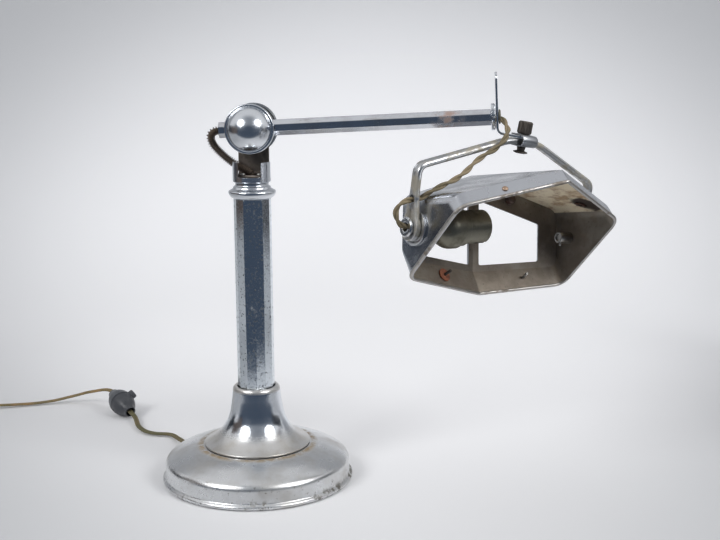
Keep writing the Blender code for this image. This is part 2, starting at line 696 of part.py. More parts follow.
def build_shade_fittings(shade, shell):
    rim, bezel, back = shade_rings()
    spot, way = surface_spot(rim[0], rim[5], bezel[0], 0.56, 0.55)
    combine(shell, cylinder_cutter(1.5, -4, 4, shade, spot, way_turn(way), steps=8))
    stem = [(0, 1.2), (1.6, 1.0), (2.3, 0.3), (1.15, 0.3), (1.15, -2.6), (0, -2.6)]
    turned("bezel_rivet", BRASS, stem, shade, spot, way_turn(way), steps=12)

    pane = [surface_spot(rim[3], rim[i], back[3], across, 0.5) for i, across in ((4, 0.48), (2, 0.55))]
    for spot, way in pane:
        combine(shell, cylinder_cutter(1.5, -6, 6, shade, spot, way_turn(way), steps=8))
    bolt = [(0, 1.3), (1.6, 1.1), (2.4, 0.3), (1.1, 0.3), (1.1, -9.5), (0, -9.5)]
    fasteners(("pane_screw_left", "pane_screw_right"), STEEL, bolt, pane, shade)
    spot, way = pane[0]
    sleeve("fibre_washer", FIBRE, 5.2, 1.4, -3.1, -1.9, shade, spot, way_turn(way), steps=16)

    spot, way = surface_spot(back[0], back[1], back[3], 0.42, 0.10)
    combine(shell, cylinder_cutter(1.5, -6, 6, shade, spot, way_turn(way), steps=8))
    head = [(0, 0.6), (1.15, 0.6), (1.15, -1.9), (4.2, -1.9), (4.2, -4.6), (3.0, -4.8), (3.0, -6.4),
            (2.2, -7.0), (0, -7.2)]
    turned("frame_screw", STEEL, head, shade, spot, way_turn(way), steps=16)

    spot, way = surface_spot(bezel[0], bezel[1], back[0], 0.8, 0.22)
    combine(shell, cylinder_cutter(1.9, -6, 6, shade, spot, way_turn(way), steps=10))
    star_washer(shade, spot - way * (SHEET + 0.8), way)


def star_washer(shade, spot, way):
    """A toothed lock washer: a flat star outline with a round hole."""
    curve = bpy.data.curves.new("star_washer", "CURVE")
    curve.dimensions = "2D"
    curve.fill_mode = "BOTH"
    curve.extrude = 0.4 * MM
    star = [(4.9 if i % 2 else 3.5, math.pi * i / 8) for i in range(16)]
    hole = [(2.0, -math.pi * i / 6) for i in range(12)]
    for ring in (star, hole):
        spline = curve.splines.new("POLY")
        spline.points.add(len(ring) - 1)
        for knot, (radius, angle) in zip(spline.points, ring):
            knot.co = (radius * MM * math.cos(angle), radius * MM * math.sin(angle), 0, 1)
        spline.use_cyclic_u = True
    place(bpy.data.objects.new("star_washer", curve), DARK_STEEL, shade, spot, way_turn(way))


def build_pivots(shade):
    nipple = [(3.4, -58.5), (5.0, -58.5), (5.0, -83.6), (7.4, -83.6), (7.4, -84.4), (6.6, -85.2),
              (3.4, -85.2)]
    turned("pivot_nipple", STEEL, nipple, shade, rotation=ALONG_X, steps=24, ring=True)
    hex_nut("nipple_nut", STEEL, 8.2, 5.3, -74.1, -70.6, shade, ALONG_X)
    sleeve("left_washer", STEEL, 13.2, 5.4, -77.8, -76.3, shade, rotation=ALONG_X, steps=28)
    pin = [(0, 85.2), (3.9, 85.2), (4.6, 84.6), (4.6, 83.3), (2.5, 83.3), (2.5, 63.5), (0, 63.5)]
    turned("pivot_pin", STEEL, pin, shade, rotation=ALONG_X, steps=20)
    boss = sleeve("pivot_boss", STEEL, 4.1, 2.85, 62.5, 74.2, shade, rotation=ALONG_X)
    way = Vector((0, 0.80, -0.60))
    combine(boss, cylinder_cutter(1.2, 2.0, 9.0, shade, (66, 0, 0), way_turn(way), steps=10))
    stud = [(0, 6.4), (0.9, 6.4), (0.9, 2.8), (0, 2.8)]
    turned("boss_screw", STEEL, stud, shade, (66, 0, 0), way_turn(way), steps=12)


def holder_frame(shade):
    """The lampholder leans on its nipple, its mouth higher than the pivot line."""
    way = math.radians(HOLDER_WAY)
    turn = Matrix.Rotation(math.radians(HOLDER_TILT), 3, Vector((0, -math.sin(way), math.cos(way))))
    seat = Vector((HOLDER_SEAT, 0, 0))
    return frame("lampholder", shade, seat - turn @ seat, [math.degrees(a) for a in turn.to_euler()])


def build_lampholder(shade):
    holder = holder_frame(shade)
    cap = [(15.0, -40.6), (15.3, -41.4), (15.3, -47.8), (14.6, -50.4), (12.6, -54.2), (9.6, -57.4),
           (7.6, -59.4), (7.3, -64.5), (5.8, -64.5), (5.8, -58.6), (8.2, -56.6), (11.4, -53.4),
           (13.2, -49.8), (13.9, -47.4), (13.9, -40.6)]
    turned("lampholder_cap", BRASS, cap, holder, rotation=ALONG_X, steps=20, ring=True)
    sleeve("lampholder_ring", BRASS, 13.8, 12.7, -40.2, -34.6, holder, rotation=ALONG_X)
    barrel = sleeve("lampholder_barrel", BRASS, 12.4, 11.4, -40.5, BARREL_END, holder, rotation=ALONG_X)
    slot = BARREL_END - 9.8
    combine(barrel, box_cutter((slot, -14, -1.4), (0, 14, 1.4), holder, rotation=slot_turn()),
            box_cutter((slot, -14, -1.2), (slot + 3.0, 14, 4.4), holder, rotation=slot_turn()))
    plate = rod("lampholder_insulator", CERAMIC, 10.9, -39.5, -32.0, holder, rotation=ALONG_X, steps=24)
    spots = [Vector((0, 4.7, 0)), Vector((0, -4.7, 0))]
    for spot in spots:
        combine(plate, cylinder_cutter(2.2, -44, -24, holder, spot, ALONG_X, steps=12))
    plunger = [(0, -28.3), (1.3, -28.3), (1.8, -28.9), (1.8, -39.0), (0, -39.0)]
    fasteners(("lampholder_contact_a", "lampholder_contact_b"), BRASS, plunger,
              [(spot, (1, 0, 0)) for spot in spots], holder)


def slot_turn():
    """Turns the bayonet slots so that one of them looks out of the rim."""
    return (math.radians(-62), 0.0, 0.0)


# ---------------------------------------------------------------- fasteners and cords

def fasteners(names, look, profile, spots, parent=None, steps=12):
    """Identical turned pieces, each its own object lying along its own direction."""
    for name, (spot, way) in zip(names, spots):
        turned(name, look, profile, parent, spot, way_turn(way), steps)


def box_part(name, look, low, high, parent, rounding):
    low, high = Vector(low) * MM, Vector(high) * MM
    body = bmesh.new()
    size = Matrix.Diagonal((*(high - low), 1.0))
    bmesh.ops.create_cube(body, size=1.0, matrix=Matrix.Translation((low + high) / 2) @ size)
    mesh = bpy.data.meshes.new(name)
    body.to_mesh(mesh)
    body.free()
    return bevel(place(bpy.data.objects.new(name, mesh), look, parent), rounding)


def hollow_wire(name, look, points, radius, wall, parent):
    """A flexible sleeve: the cable's surface left open at both ends and thickened inwards."""
    obj = wire(name, look, points, radius, parent)
    obj.data.use_fill_caps = False
    return solidify(obj, wall)


def build_cords(head, yoke):
    rise = math.radians(ARM_RISE)

    def on_arm(x):
        return (x * math.cos(rise), 0.0, BALL_Z + x * math.sin(rise))

    loop = [(0, 0, 231.0), (0, 0, 240.5), (-7.0, 2.6, 245.0), (-15.0, 3.6, 249.5), (-24.5, 2.6, 257.5),
            (-30.5, 1.0, 266.0), (-30.0, 0.0, 271.6), on_arm(ARM_REAR + 1), on_arm(ARM_REAR + 8)]
    wire("spring_cord", CORD, loop, 1.9, head)
    hollow_wire("spring_sleeve", STEEL, loop, 3.0, 0.7, head)
    left = pivot_x(-1)
    hole_z = -YOKE_DROP + CORD_HOLE_H
    drop = [(-20.9, 15.3, 13.9), (-16.4, 12.0, 15.1), (-13.8, 6.5, 14.6), (-19.0, -2.5, 11.0),
            (-27.0, -8.8, 5.1), (-32.6, -10.0, -0.4), (-38.1, -8.6, -5.6), (-45.3, -7.8, -10.8),
            (-51.8, -8.0, -17.6), (-55.5, -9.0, -24.0), (-65.4, -10.2, -31.6), (-74.0, -9.2, -37.4),
            (-80.6, -6.2, -43.2), (left + 2.6, -2.0, hole_z + 1.6), (left - 1.6, 0, hole_z),
            (left - 9.0, 0, hole_z - 2.0), (left - 14.7, 0, hole_z - 7.4),
            (left - 14.5, 0, hole_z - 12.4), (left - 10.0, 0, -YOKE_DROP + 1.9),
            (left - 2.5, 0, -YOKE_DROP), (left + 14.0, 0, -YOKE_DROP)]
    wire("shade_cord", CORD, drop, 1.7, yoke)


def build_lamp():
    head = frame("head_axis", None, (0, 0, 0), (0, 0, HEAD_YAW))
    ball = frame("ball_axis", head, (0, 0, BALL_Z))
    guide = frame("guide_axis", ball, (0, 0, 0), (0, -ARM_RISE, 0))
    arm = frame("arm_axis", guide)
    strap = frame("strap_axis", arm, (ARM_TIP, 0, 0))
    clamp = frame("clamp_axis", strap, (CLAMP_X - ARM_TIP, 0, CLAMP_Z), (0, CLAMP_LEAN, 0))
    yoke = frame("yoke_axis", clamp, (0, 0, 0), (0, 0, YOKE_TURN))
    nut_turn = frame("nut_axis", yoke)
    shade = frame("shade_axis", yoke, (-YOKE_OFFSET, 0, -YOKE_DROP), (SHADE_TILT, 0, 0))
    build_base()
    build_column()
    build_switch()
    build_plug()
    build_table_cables()
    build_head(head, ball)
    build_guide(guide)
    build_arm(arm)
    build_strap(strap)
    build_clamp(yoke, nut_turn)
    build_yoke(yoke)
    shell = build_shade_shell(shade)
    build_shade_fittings(shade, shell)
    build_pivots(shade)
    build_lampholder(shade)
    build_cords(head, yoke)


build_lamp()
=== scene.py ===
"""Studio scene of the articulated desk lamp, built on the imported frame.

Lengths are in millimetres in each piece's own frame and MM turns them into metres. The frames come
from the record's joints: HEAD and BALL on the column, ARM along the sliding tube, YOKE on the clamp
and SHADE on the pivots. Round and folded pieces that show are built again here with fine surfaces
and stand for their coarse solids. The others keep their solid and get a small edge rounding.
"""

import json
import math

import bmesh
import bpy
from mathutils import Matrix, Vector


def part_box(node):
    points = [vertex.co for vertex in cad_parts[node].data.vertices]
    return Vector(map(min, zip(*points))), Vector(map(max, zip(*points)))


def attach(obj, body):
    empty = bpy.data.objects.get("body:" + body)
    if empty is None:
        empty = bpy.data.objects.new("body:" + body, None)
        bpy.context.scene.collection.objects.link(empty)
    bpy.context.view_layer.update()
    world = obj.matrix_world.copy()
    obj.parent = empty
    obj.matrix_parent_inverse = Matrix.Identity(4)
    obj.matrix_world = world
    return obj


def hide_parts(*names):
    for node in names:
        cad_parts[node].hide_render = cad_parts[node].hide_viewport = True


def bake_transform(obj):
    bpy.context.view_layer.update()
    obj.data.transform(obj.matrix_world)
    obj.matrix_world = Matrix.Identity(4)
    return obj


MM = 0.001

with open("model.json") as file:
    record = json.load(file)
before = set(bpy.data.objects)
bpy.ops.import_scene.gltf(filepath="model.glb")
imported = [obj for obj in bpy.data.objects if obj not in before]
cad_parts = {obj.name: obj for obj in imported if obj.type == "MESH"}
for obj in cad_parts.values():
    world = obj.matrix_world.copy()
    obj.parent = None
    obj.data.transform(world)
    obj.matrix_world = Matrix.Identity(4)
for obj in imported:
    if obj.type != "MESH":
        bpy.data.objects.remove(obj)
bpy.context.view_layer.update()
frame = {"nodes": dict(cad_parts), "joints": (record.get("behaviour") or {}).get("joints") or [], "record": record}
joints = {joint["name"]: joint for joint in frame["joints"]}


# ---------------------------------------------------------------- frames

def frame_of(origin, x, y, z):
    """A frame from its origin and its three axes."""
    matrix = Matrix((x, y, z)).transposed().to_4x4()
    matrix.translation = origin
    return matrix


def joint_axis(name):
    return Vector(joints[name]["axis"]).normalized()


def joint_point(name):
    return Vector(joints[name]["pos_m"])


UP = Vector((0, 0, 1))
HEAD_Y = -joint_axis("arm_tilt")
HEAD = frame_of(Vector(), HEAD_Y.cross(UP), HEAD_Y, UP)
BALL = frame_of(joint_point("arm_tilt"), HEAD_Y.cross(UP), HEAD_Y, UP)
ARM_X = joint_axis("arm_slide")
ARM = frame_of(BALL.translation, ARM_X, HEAD_Y, ARM_X.cross(HEAD_Y))
YOKE_Z = joint_axis("yoke_swivel")
YOKE_X = joint_axis("shade_tilt")
YOKE = frame_of(joint_point("yoke_swivel"), YOKE_X, YOKE_Z.cross(YOKE_X), YOKE_Z)
SHADE_TILT = math.radians(-55.2)
SHADE = YOKE.to_3x3().to_4x4() @ Matrix.Rotation(SHADE_TILT, 4, "X")
SHADE.translation = joint_point("shade_tilt")
ALONG_X = Matrix.Rotation(math.radians(90), 4, "Y")
ALONG_Y = Matrix.Rotation(math.radians(-90), 4, "X")
TO_FRONT = Matrix.Rotation(math.radians(90), 4, "X")
BALL_Z = BALL.translation.z / MM


# ---------------------------------------------------------------- surface looks

class Look:
    """Small helper that wires a material's nodes."""

    def __init__(self, name):
        self.mat = bpy.data.materials.new(name)
        self.mat.use_nodes = True
        self.nodes = self.mat.node_tree.nodes
        self.links = self.mat.node_tree.links
        self.shader = self.nodes["Principled BSDF"]
        self.place = self.nodes.new("ShaderNodeTexCoord").outputs["Object"]

    def feed(self, socket, value):
        if isinstance(value, bpy.types.NodeSocket):
            self.links.new(value, socket)
        elif isinstance(value, tuple) and len(value) == 3 and socket.type == "RGBA":
            socket.default_value = (*value, 1.0)
        else:
            socket.default_value = value

    def noise(self, scale, detail=4.0, roughness=0.6, stretch=(1, 1, 1)):
        move = self.nodes.new("ShaderNodeMapping")
        move.inputs["Scale"].default_value = stretch
        self.links.new(self.place, move.inputs["Vector"])
        node = self.nodes.new("ShaderNodeTexNoise")
        node.inputs["Scale"].default_value = scale
        node.inputs["Detail"].default_value = detail
        node.inputs["Roughness"].default_value = roughness
        self.links.new(move.outputs["Vector"], node.inputs["Vector"])
        return node.outputs["Fac"]

    def step(self, value, low, high, to_low=0.0, to_high=1.0):
        node = self.nodes.new("ShaderNodeMapRange")
        node.interpolation_type = "SMOOTHSTEP"
        self.feed(node.inputs["Value"], value)
        node.inputs["From Min"].default_value = low
        node.inputs["From Max"].default_value = high
        node.inputs["To Min"].default_value = to_low
        node.inputs["To Max"].default_value = to_high
        return node.outputs["Result"]

    def math(self, operation, a, b=0.0):
        node = self.nodes.new("ShaderNodeMath")
        node.operation = operation
        self.feed(node.inputs[0], a)
        self.feed(node.inputs[1], b)
        return node.outputs[0]

    def mix(self, factor, a, b):
        node = self.nodes.new("ShaderNodeMix")
        node.data_type = "RGBA"
        self.feed(node.inputs["Factor"], factor)
        self.feed(node.inputs["A"], a)
        self.feed(node.inputs["B"], b)
        return node.outputs["Result"]

    def distance(self, point):
        """Distance in metres from a point of the piece's own frame."""
        node = self.nodes.new("ShaderNodeVectorMath")
        node.operation = "DISTANCE"
        self.links.new(self.place, node.inputs[0])
        node.inputs[1].default_value = point
        return node.outputs["Value"]

    def axis(self, name):
        """One coordinate of the piece's own frame, in metres."""
        node = self.nodes.new("ShaderNodeSeparateXYZ")
        self.links.new(self.place, node.inputs["Vector"])
        return node.outputs[name]

    def radius(self):
        """Distance from the piece's own Z axis."""
        x_squared, y_squared = (self.math("MULTIPLY", self.axis(n), self.axis(n)) for n in ("X", "Y"))
        return self.math("SQRT", self.math("ADD", x_squared, y_squared))

    def bump(self, height, strength, depth=0.0003):
        node = self.nodes.new("ShaderNodeBump")
        node.inputs["Strength"].default_value = strength
        node.inputs["Distance"].default_value = depth
        self.links.new(height, node.inputs["Height"])
        self.links.new(node.outputs["Normal"], self.shader.inputs["Normal"])

    def finish(self, color, roughness, metallic):
        self.feed(self.shader.inputs["Base Color"], color)
        self.feed(self.shader.inputs["Roughness"], roughness)
        self.feed(self.shader.inputs["Metallic"], metallic)
        return self.mat


def worn_metal(name, color, roughness, dirt=(0.20, 0.15, 0.09), dirt_from=0.62, pits_from=0.66,
               spread=90.0, haze=0.10, bump=0.08):
    """Plated or plain metal: soft haze, patches of dirt and fine dark pits."""
    look = Look(name)
    patches = look.step(look.noise(spread, 5.0, 0.65), dirt_from, dirt_from + 0.16)
    pits = look.step(look.noise(spread * 14, 3.0, 0.7), pits_from, pits_from + 0.07)
    cloud = look.step(look.noise(spread * 0.6, 4.0), 0.35, 0.75)
    tone = look.mix(look.math("MULTIPLY", cloud, 0.25), color, tuple(c * 0.75 for c in color))
    tone = look.mix(look.math("MULTIPLY", patches, 0.75), tone, dirt)
    tone = look.mix(look.math("MULTIPLY", pits, 0.7), tone, (0.05, 0.045, 0.04))
    rough = look.math("MULTIPLY_ADD", cloud, haze)
    rough.node.inputs[2].default_value = roughness
    rough = look.math("ADD", rough, look.math("MULTIPLY", patches, 0.30))
    rough = look.math("ADD", rough, look.math("MULTIPLY", pits, 0.35))
    metal = look.step(patches, 0.0, 1.0, 1.0, 0.55)
    look.bump(look.noise(spread * 9, 6.0, 0.7), bump)
    return look.finish(tone, rough, metal)


def chrome_base():
    """The foot's plate: brown dust in the groove round the bell, rust along the bead at the rim."""
    look = Look("chrome_base")
    radius, height = look.radius(), look.axis("Z")
    grain = look.noise(160.0, 6.0, 0.7)
    groove = look.math("MULTIPLY", look.step(radius, 0.0415, 0.0435), look.step(radius, 0.049, 0.0445))
    groove = look.math("MULTIPLY", groove, look.step(grain, 0.30, 0.62))
    rim = look.math("MULTIPLY", look.step(height, 0.0085, 0.0040), look.step(grain, 0.46, 0.56))
    rim = look.math("MULTIPLY", rim, look.step(look.noise(24.0, 3.0), 0.46, 0.60))
    side = look.math("MULTIPLY", look.step(radius, 0.068, 0.0722),
                     look.step(look.noise(330.0, 4.0, 0.7), 0.60, 0.68))
    pits = look.step(look.noise(700.0, 3.0, 0.7), 0.70, 0.76)
    smear = look.step(look.noise(38.0, 5.0, 0.6), 0.42, 0.75)
    tone = look.mix(smear, (0.70, 0.71, 0.72), (0.56, 0.55, 0.53))
    tone = look.mix(look.math("MULTIPLY", groove, 0.95), tone, (0.27, 0.19, 0.10))
    tone = look.mix(look.math("MULTIPLY", rim, 0.9), tone, (0.09, 0.08, 0.06))
    tone = look.mix(look.math("MULTIPLY", side, 0.7), tone, (0.13, 0.11, 0.08))
    tone = look.mix(look.math("MULTIPLY", pits, 0.6), tone, (0.10, 0.09, 0.08))
    dull = look.math("ADD", look.math("MULTIPLY", smear, 0.14), 0.27)
    dull = look.math("ADD", dull, look.math("MULTIPLY", look.math("ADD", groove, rim), 0.4))
    metal = look.math("SUBTRACT", 1.0, look.math("MULTIPLY", look.math("MAXIMUM", groove, rim), 0.6))
    look.bump(look.noise(900.0, 6.0, 0.7), 0.10)
    return look.finish(tone, dull, metal)


def bell_chrome():
    """The bell: mottled and bright above, dulled by dust on its spreading foot."""
    look = Look("bell_chrome")
    height = look.axis("Z")
    dust = look.math("MAXIMUM", look.step(height, 0.047, 0.034), look.step(height, 0.0712, 0.0728))
    mottle = look.step(look.noise(850.0, 4.0, 0.75), 0.46, 0.62)
    smear = look.step(look.noise(60.0, 5.0), 0.40, 0.72)
    tone = look.mix(look.math("MULTIPLY", mottle, 0.35), (0.74, 0.77, 0.81), (0.40, 0.44, 0.50))
    tone = look.mix(look.math("MULTIPLY", dust, 0.8), tone, (0.60, 0.58, 0.55))
    tone = look.mix(look.math("MULTIPLY", look.math("MULTIPLY", smear, dust), 0.5), tone, (0.40, 0.36, 0.29))
    dull = look.math("ADD", look.step(dust, 0.0, 1.0, 0.13, 0.30), look.math("MULTIPLY", mottle, 0.10))
    look.bump(look.noise(1100.0, 5.0, 0.7), 0.12)
    return look.finish(tone, dull, look.step(dust, 0.0, 1.0, 1.0, 0.85))


def aged_sheet():
    """Inside of the shade: grey-brown oxide with speckles and paler rubbed patches."""
    look = Look("aged_sheet")
    cloud = look.step(look.noise(28.0, 6.0, 0.65), 0.32, 0.72)
    speck = look.step(look.noise(420.0, 4.0, 0.7), 0.62, 0.70)
    tone = look.mix(cloud, (0.205, 0.170, 0.138), (0.375, 0.335, 0.280))
    tone = look.mix(look.math("MULTIPLY", speck, 0.6), tone, (0.05, 0.04, 0.03))
    look.bump(look.noise(600.0, 6.0, 0.7), 0.15)
    return look.finish(tone, look.step(cloud, 0.0, 1.0, 0.52, 0.36), 0.6)


def burnt_enamel(star):
    """Cream enamel on the inside of one roof panel, stained brown and burnt black round a hole."""
    look = Look("burnt_enamel")
    grain = look.noise(70.0, 7.0, 0.7, (1.0, 0.5, 1.6))
    stain = look.step(grain, 0.46, 0.64)
    near = look.step(look.distance(star), 0.026, 0.004)
    burn = look.step(look.math("ADD", near, look.math("MULTIPLY", grain, 0.9)), 0.95, 1.25)
    tone = look.mix(look.math("MULTIPLY", stain, 0.8), (0.84, 0.72, 0.52), (0.36, 0.20, 0.085))
    tone = look.mix(burn, tone, (0.035, 0.022, 0.016))
    look.bump(grain, 0.25)
    return look.finish(tone, 0.55, 0.0)


def cotton(name, color, second):
    """Braided cotton covering."""
    look = Look(name)
    tone = look.mix(look.step(look.noise(55.0, 5.0, 0.6), 0.38, 0.66), color, second)
    weave = look.noise(2600.0, 2.0, 0.6)
    tone = look.mix(look.math("MULTIPLY", weave, 0.55), tone, (0.03, 0.025, 0.012))
    look.bump(weave, 0.6, 0.0002)
    return look.finish(tone, 0.80, 0.0)


def plain(name, color, second, roughness, metallic=0.0, spread=120.0, bump=0.1):
    """A moulded, cast or cut surface with two mixed tones and a fine grain."""
    look = Look(name)
    tone = look.mix(look.step(look.noise(spread, 5.0), 0.40, 0.70), color, second)
    rough = look.step(look.noise(spread * 2, 4.0), 0.3, 0.7, roughness - 0.06, roughness + 0.10)
    look.bump(look.noise(spread * 8, 5.0, 0.7), bump)
    return look.finish(tone, rough, metallic)


def arm_chrome():
    """The arm's facets, hazed, with one spot near the tip where the plating has gone brown."""
    look = Look("arm_chrome")
    cloud = look.step(look.noise(40.0, 5.0), 0.35, 0.72)
    streak = look.noise(300.0, 4.0, 0.7, (0.15, 1.0, 1.0))
    spot = look.step(look.distance(ARM @ (Vector((148, -6, 0)) * MM)), 0.015, 0.004)
    spot = look.math("MULTIPLY", spot, look.step(look.noise(120.0, 4.0), 0.38, 0.62))
    tone = look.mix(cloud, (0.66, 0.68, 0.72), (0.54, 0.54, 0.56))
    tone = look.mix(look.math("MULTIPLY", look.step(streak, 0.58, 0.72), 0.4), tone, (0.30, 0.27, 0.24))
    tone = look.mix(spot, tone, (0.40, 0.285, 0.245))
    dull = look.math("ADD", look.step(cloud, 0.0, 1.0, 0.12, 0.22), look.math("MULTIPLY", spot, 0.3))
    look.bump(look.noise(900.0, 5.0, 0.7), 0.08)
    return look.finish(tone, dull, look.math("SUBTRACT", 1.0, look.math("MULTIPLY", spot, 0.5)))


CHROME = worn_metal("chrome", (0.70, 0.725, 0.76), 0.20, dirt_from=0.66, pits_from=0.67, haze=0.08)
COLUMN_CHROME = worn_metal("column_chrome", (0.70, 0.75, 0.80), 0.07, dirt=(0.30, 0.27, 0.25),
                           dirt_from=0.60, pits_from=0.57, haze=0.10, bump=0.18, spread=38.0)
ARM_CHROME = arm_chrome()
STRAP_CHROME = worn_metal("strap_chrome", (0.70, 0.72, 0.75), 0.14, dirt_from=0.60, haze=0.10)
RIM_METAL = worn_metal("rubbed_rim", (0.46, 0.44, 0.42), 0.36, dirt=(0.16, 0.12, 0.08), dirt_from=0.52,
                       pits_from=0.80, haze=0.14)
CLIP_METAL = worn_metal("grey_clip", (0.40, 0.41, 0.43), 0.34, dirt_from=0.60)
BASE_CHROME = chrome_base()
YOKE_CHROME = worn_metal("yoke_chrome", (0.52, 0.525, 0.53), 0.30, dirt=(0.34, 0.30, 0.22),
                         dirt_from=0.44, pits_from=0.78, haze=0.12)
STEEL = worn_metal("steel", (0.46, 0.45, 0.43), 0.32, dirt_from=0.55)
BRIGHT_STEEL = worn_metal("bright_steel", (0.66, 0.67, 0.68), 0.20, dirt_from=0.60)
DARK_STEEL = worn_metal("dark_steel", (0.115, 0.10, 0.088), 0.45, dirt=(0.05, 0.04, 0.03),
                        dirt_from=0.50, pits_from=0.70)
RUSTED = worn_metal("rusted_steel", (0.16, 0.12, 0.10), 0.50, dirt=(0.13, 0.05, 0.03), dirt_from=0.45)
SHEET = worn_metal("satin_sheet", (0.50, 0.515, 0.545), 0.20, dirt=(0.24, 0.21, 0.18), dirt_from=0.62,
                   pits_from=0.69, haze=0.22, bump=0.15, spread=55.0)
BRASS = worn_metal("aged_brass", (0.215, 0.205, 0.165), 0.38, dirt=(0.13, 0.12, 0.08), dirt_from=0.48,
                   spread=60.0)
COPPER = worn_metal("brown_rivet", (0.42, 0.30, 0.22), 0.45, dirt_from=0.50)
SPRING = worn_metal("browned_spring", (0.15, 0.12, 0.10), 0.38, dirt=(0.10, 0.07, 0.05), dirt_from=0.45)
CORD = cotton("cotton_cord", (0.33, 0.26, 0.16), (0.17, 0.14, 0.08))
OLIVE_CORD = cotton("olive_cord", (0.155, 0.145, 0.075), (0.22, 0.17, 0.085))
TAN_CORD = cotton("tan_cord", (0.25, 0.20, 0.10), (0.42, 0.27, 0.12))
PALE_BAKELITE = plain("pale_bakelite", (0.075, 0.08, 0.09), (0.13, 0.135, 0.145), 0.38)
BROWN_CORD = cotton("dark_cord", (0.12, 0.09, 0.06), (0.07, 0.05, 0.035))
BAKELITE = plain("bakelite", (0.045, 0.048, 0.056), (0.075, 0.078, 0.085), 0.42)
PORCELAIN = plain("porcelain", (0.42, 0.38, 0.30), (0.30, 0.26, 0.20), 0.50)
IRON = plain("cast_iron", (0.07, 0.065, 0.06), (0.12, 0.08, 0.05), 0.75, 0.5, bump=0.5)
FELT = plain("felt", (0.05, 0.08, 0.05), (0.08, 0.10, 0.06), 0.95, bump=0.8, spread=400.0)
FIBRE = plain("red_fibre", (0.30, 0.10, 0.05), (0.13, 0.05, 0.03), 0.80, spread=200.0, bump=0.4)

SLOT_LOOKS = {"chrome": CHROME, "steel": STEEL, "dark_steel": DARK_STEEL, "cast_iron": IRON,
              "aluminium": SHEET, "aged_brass": BRASS, "textile_cord": CORD, "bakelite": BAKELITE,
              "porcelain": PORCELAIN, "felt": FELT, "fibre": FIBRE}
NODE_LOOKS = {"column_tube": COLUMN_CHROME, "arm_tube": ARM_CHROME, "clip": CLIP_METAL,
              "hanger_strap": STRAP_CHROME, "tip_screw_low": BRIGHT_STEEL, "tip_screw_side": BRIGHT_STEEL,
              "pivot_nipple": BRIGHT_STEEL, "left_washer": BRIGHT_STEEL, "bezel_rivet": COPPER,
              "frame_screw": RUSTED, "star_washer": RUSTED, "pane_screw_left": DARK_STEEL}


# ---------------------------------------------------------------- shape helpers

def soften(points, radius, steps=4):
    """Round each inner corner of an open line."""
    line = [Vector(p) for p in points]
    out = [line[0]]
    for before, corner, after in zip(line, line[1:], line[2:]):
        cut = min(radius, 0.48 * (before - corner).length, 0.48 * (after - corner).length)
        start = corner + (before - corner).normalized() * cut
        end = corner + (after - corner).normalized() * cut
        for i in range(steps + 1):
            t = i / steps
            out.append(start * (1 - t) ** 2 + corner * (2 * t * (1 - t)) + end * t ** 2)
    return out + [line[-1]]


def thicken(profile, wall):
    """Close an outer (radius, height) line, listed from top to bottom, with one inside it."""
    line = [Vector(p) for p in profile]
    inner = []
    for i, point in enumerate(line):
        way = (line[min(i + 1, len(line) - 1)] - line[max(i - 1, 0)]).normalized()
        inner.append(point - Vector((-way.y, way.x)) * wall)
    return line + inner[::-1]


def lathe(profile, steps=96):
    """Turn a profile about Z. It is a loop unless its ends lie on the axis."""
    body = bmesh.new()
    rings = []
    for radius, height in profile:
        count = steps if radius > 0.001 else 1
        turns = [2 * math.pi * i / count for i in range(count)]
        rings.append([body.verts.new((radius * MM * math.cos(a), radius * MM * math.sin(a), height * MM))
                      for a in turns])
    pairs = list(zip(rings, rings[1:]))
    if profile[0][0] > 0.001:
        pairs.append((rings[-1], rings[0]))
    for upper, lower in pairs:
        for i in range(steps):
            j = i + 1
            quad = [upper[i % len(upper)], lower[i % len(lower)],
                    lower[j % len(lower)], upper[j % len(upper)]]
            corners = list(dict.fromkeys(quad))
            if len(corners) > 2:
                body.faces.new(corners)
    bmesh.ops.recalc_face_normals(body, faces=body.faces)
    return body


def along(path, side):
    """Tangent, side and up at each point of a path, carried without twist."""
    out = []
    side = Vector(side)
    for i in range(len(path)):
        way = (path[min(i + 1, len(path) - 1)] - path[max(i - 1, 0)]).normalized()
        side = (side - way * side.dot(way)).normalized()
        out.append((way, side, way.cross(side)))
    return out


def sweep(path, outline, side=(0, 0, 1)):
    """Carry a closed (side, up) outline, or one outline a point, along a path and close both ends."""
    body = bmesh.new()
    rings = []
    outlines = outline if isinstance(outline[0], list) else [outline] * len(path)
    for point, shape, (_, across, up) in zip(path, outlines, along(path, side)):
        rings.append([body.verts.new((point + across * a + up * b) * MM) for a, b in shape])
    for one, two in zip(rings, rings[1:]):
        for i in range(len(one)):
            j = (i + 1) % len(one)
            body.faces.new((one[i], one[j], two[j], two[i]))
    body.faces.new(rings[0])
    body.faces.new(rings[-1][::-1])
    bmesh.ops.recalc_face_normals(body, faces=body.faces)
    return body


def circle(radius, count=10):
    """A round outline."""
    return [(radius * math.cos(2 * math.pi * i / count), radius * math.sin(2 * math.pi * i / count))
            for i in range(count)]


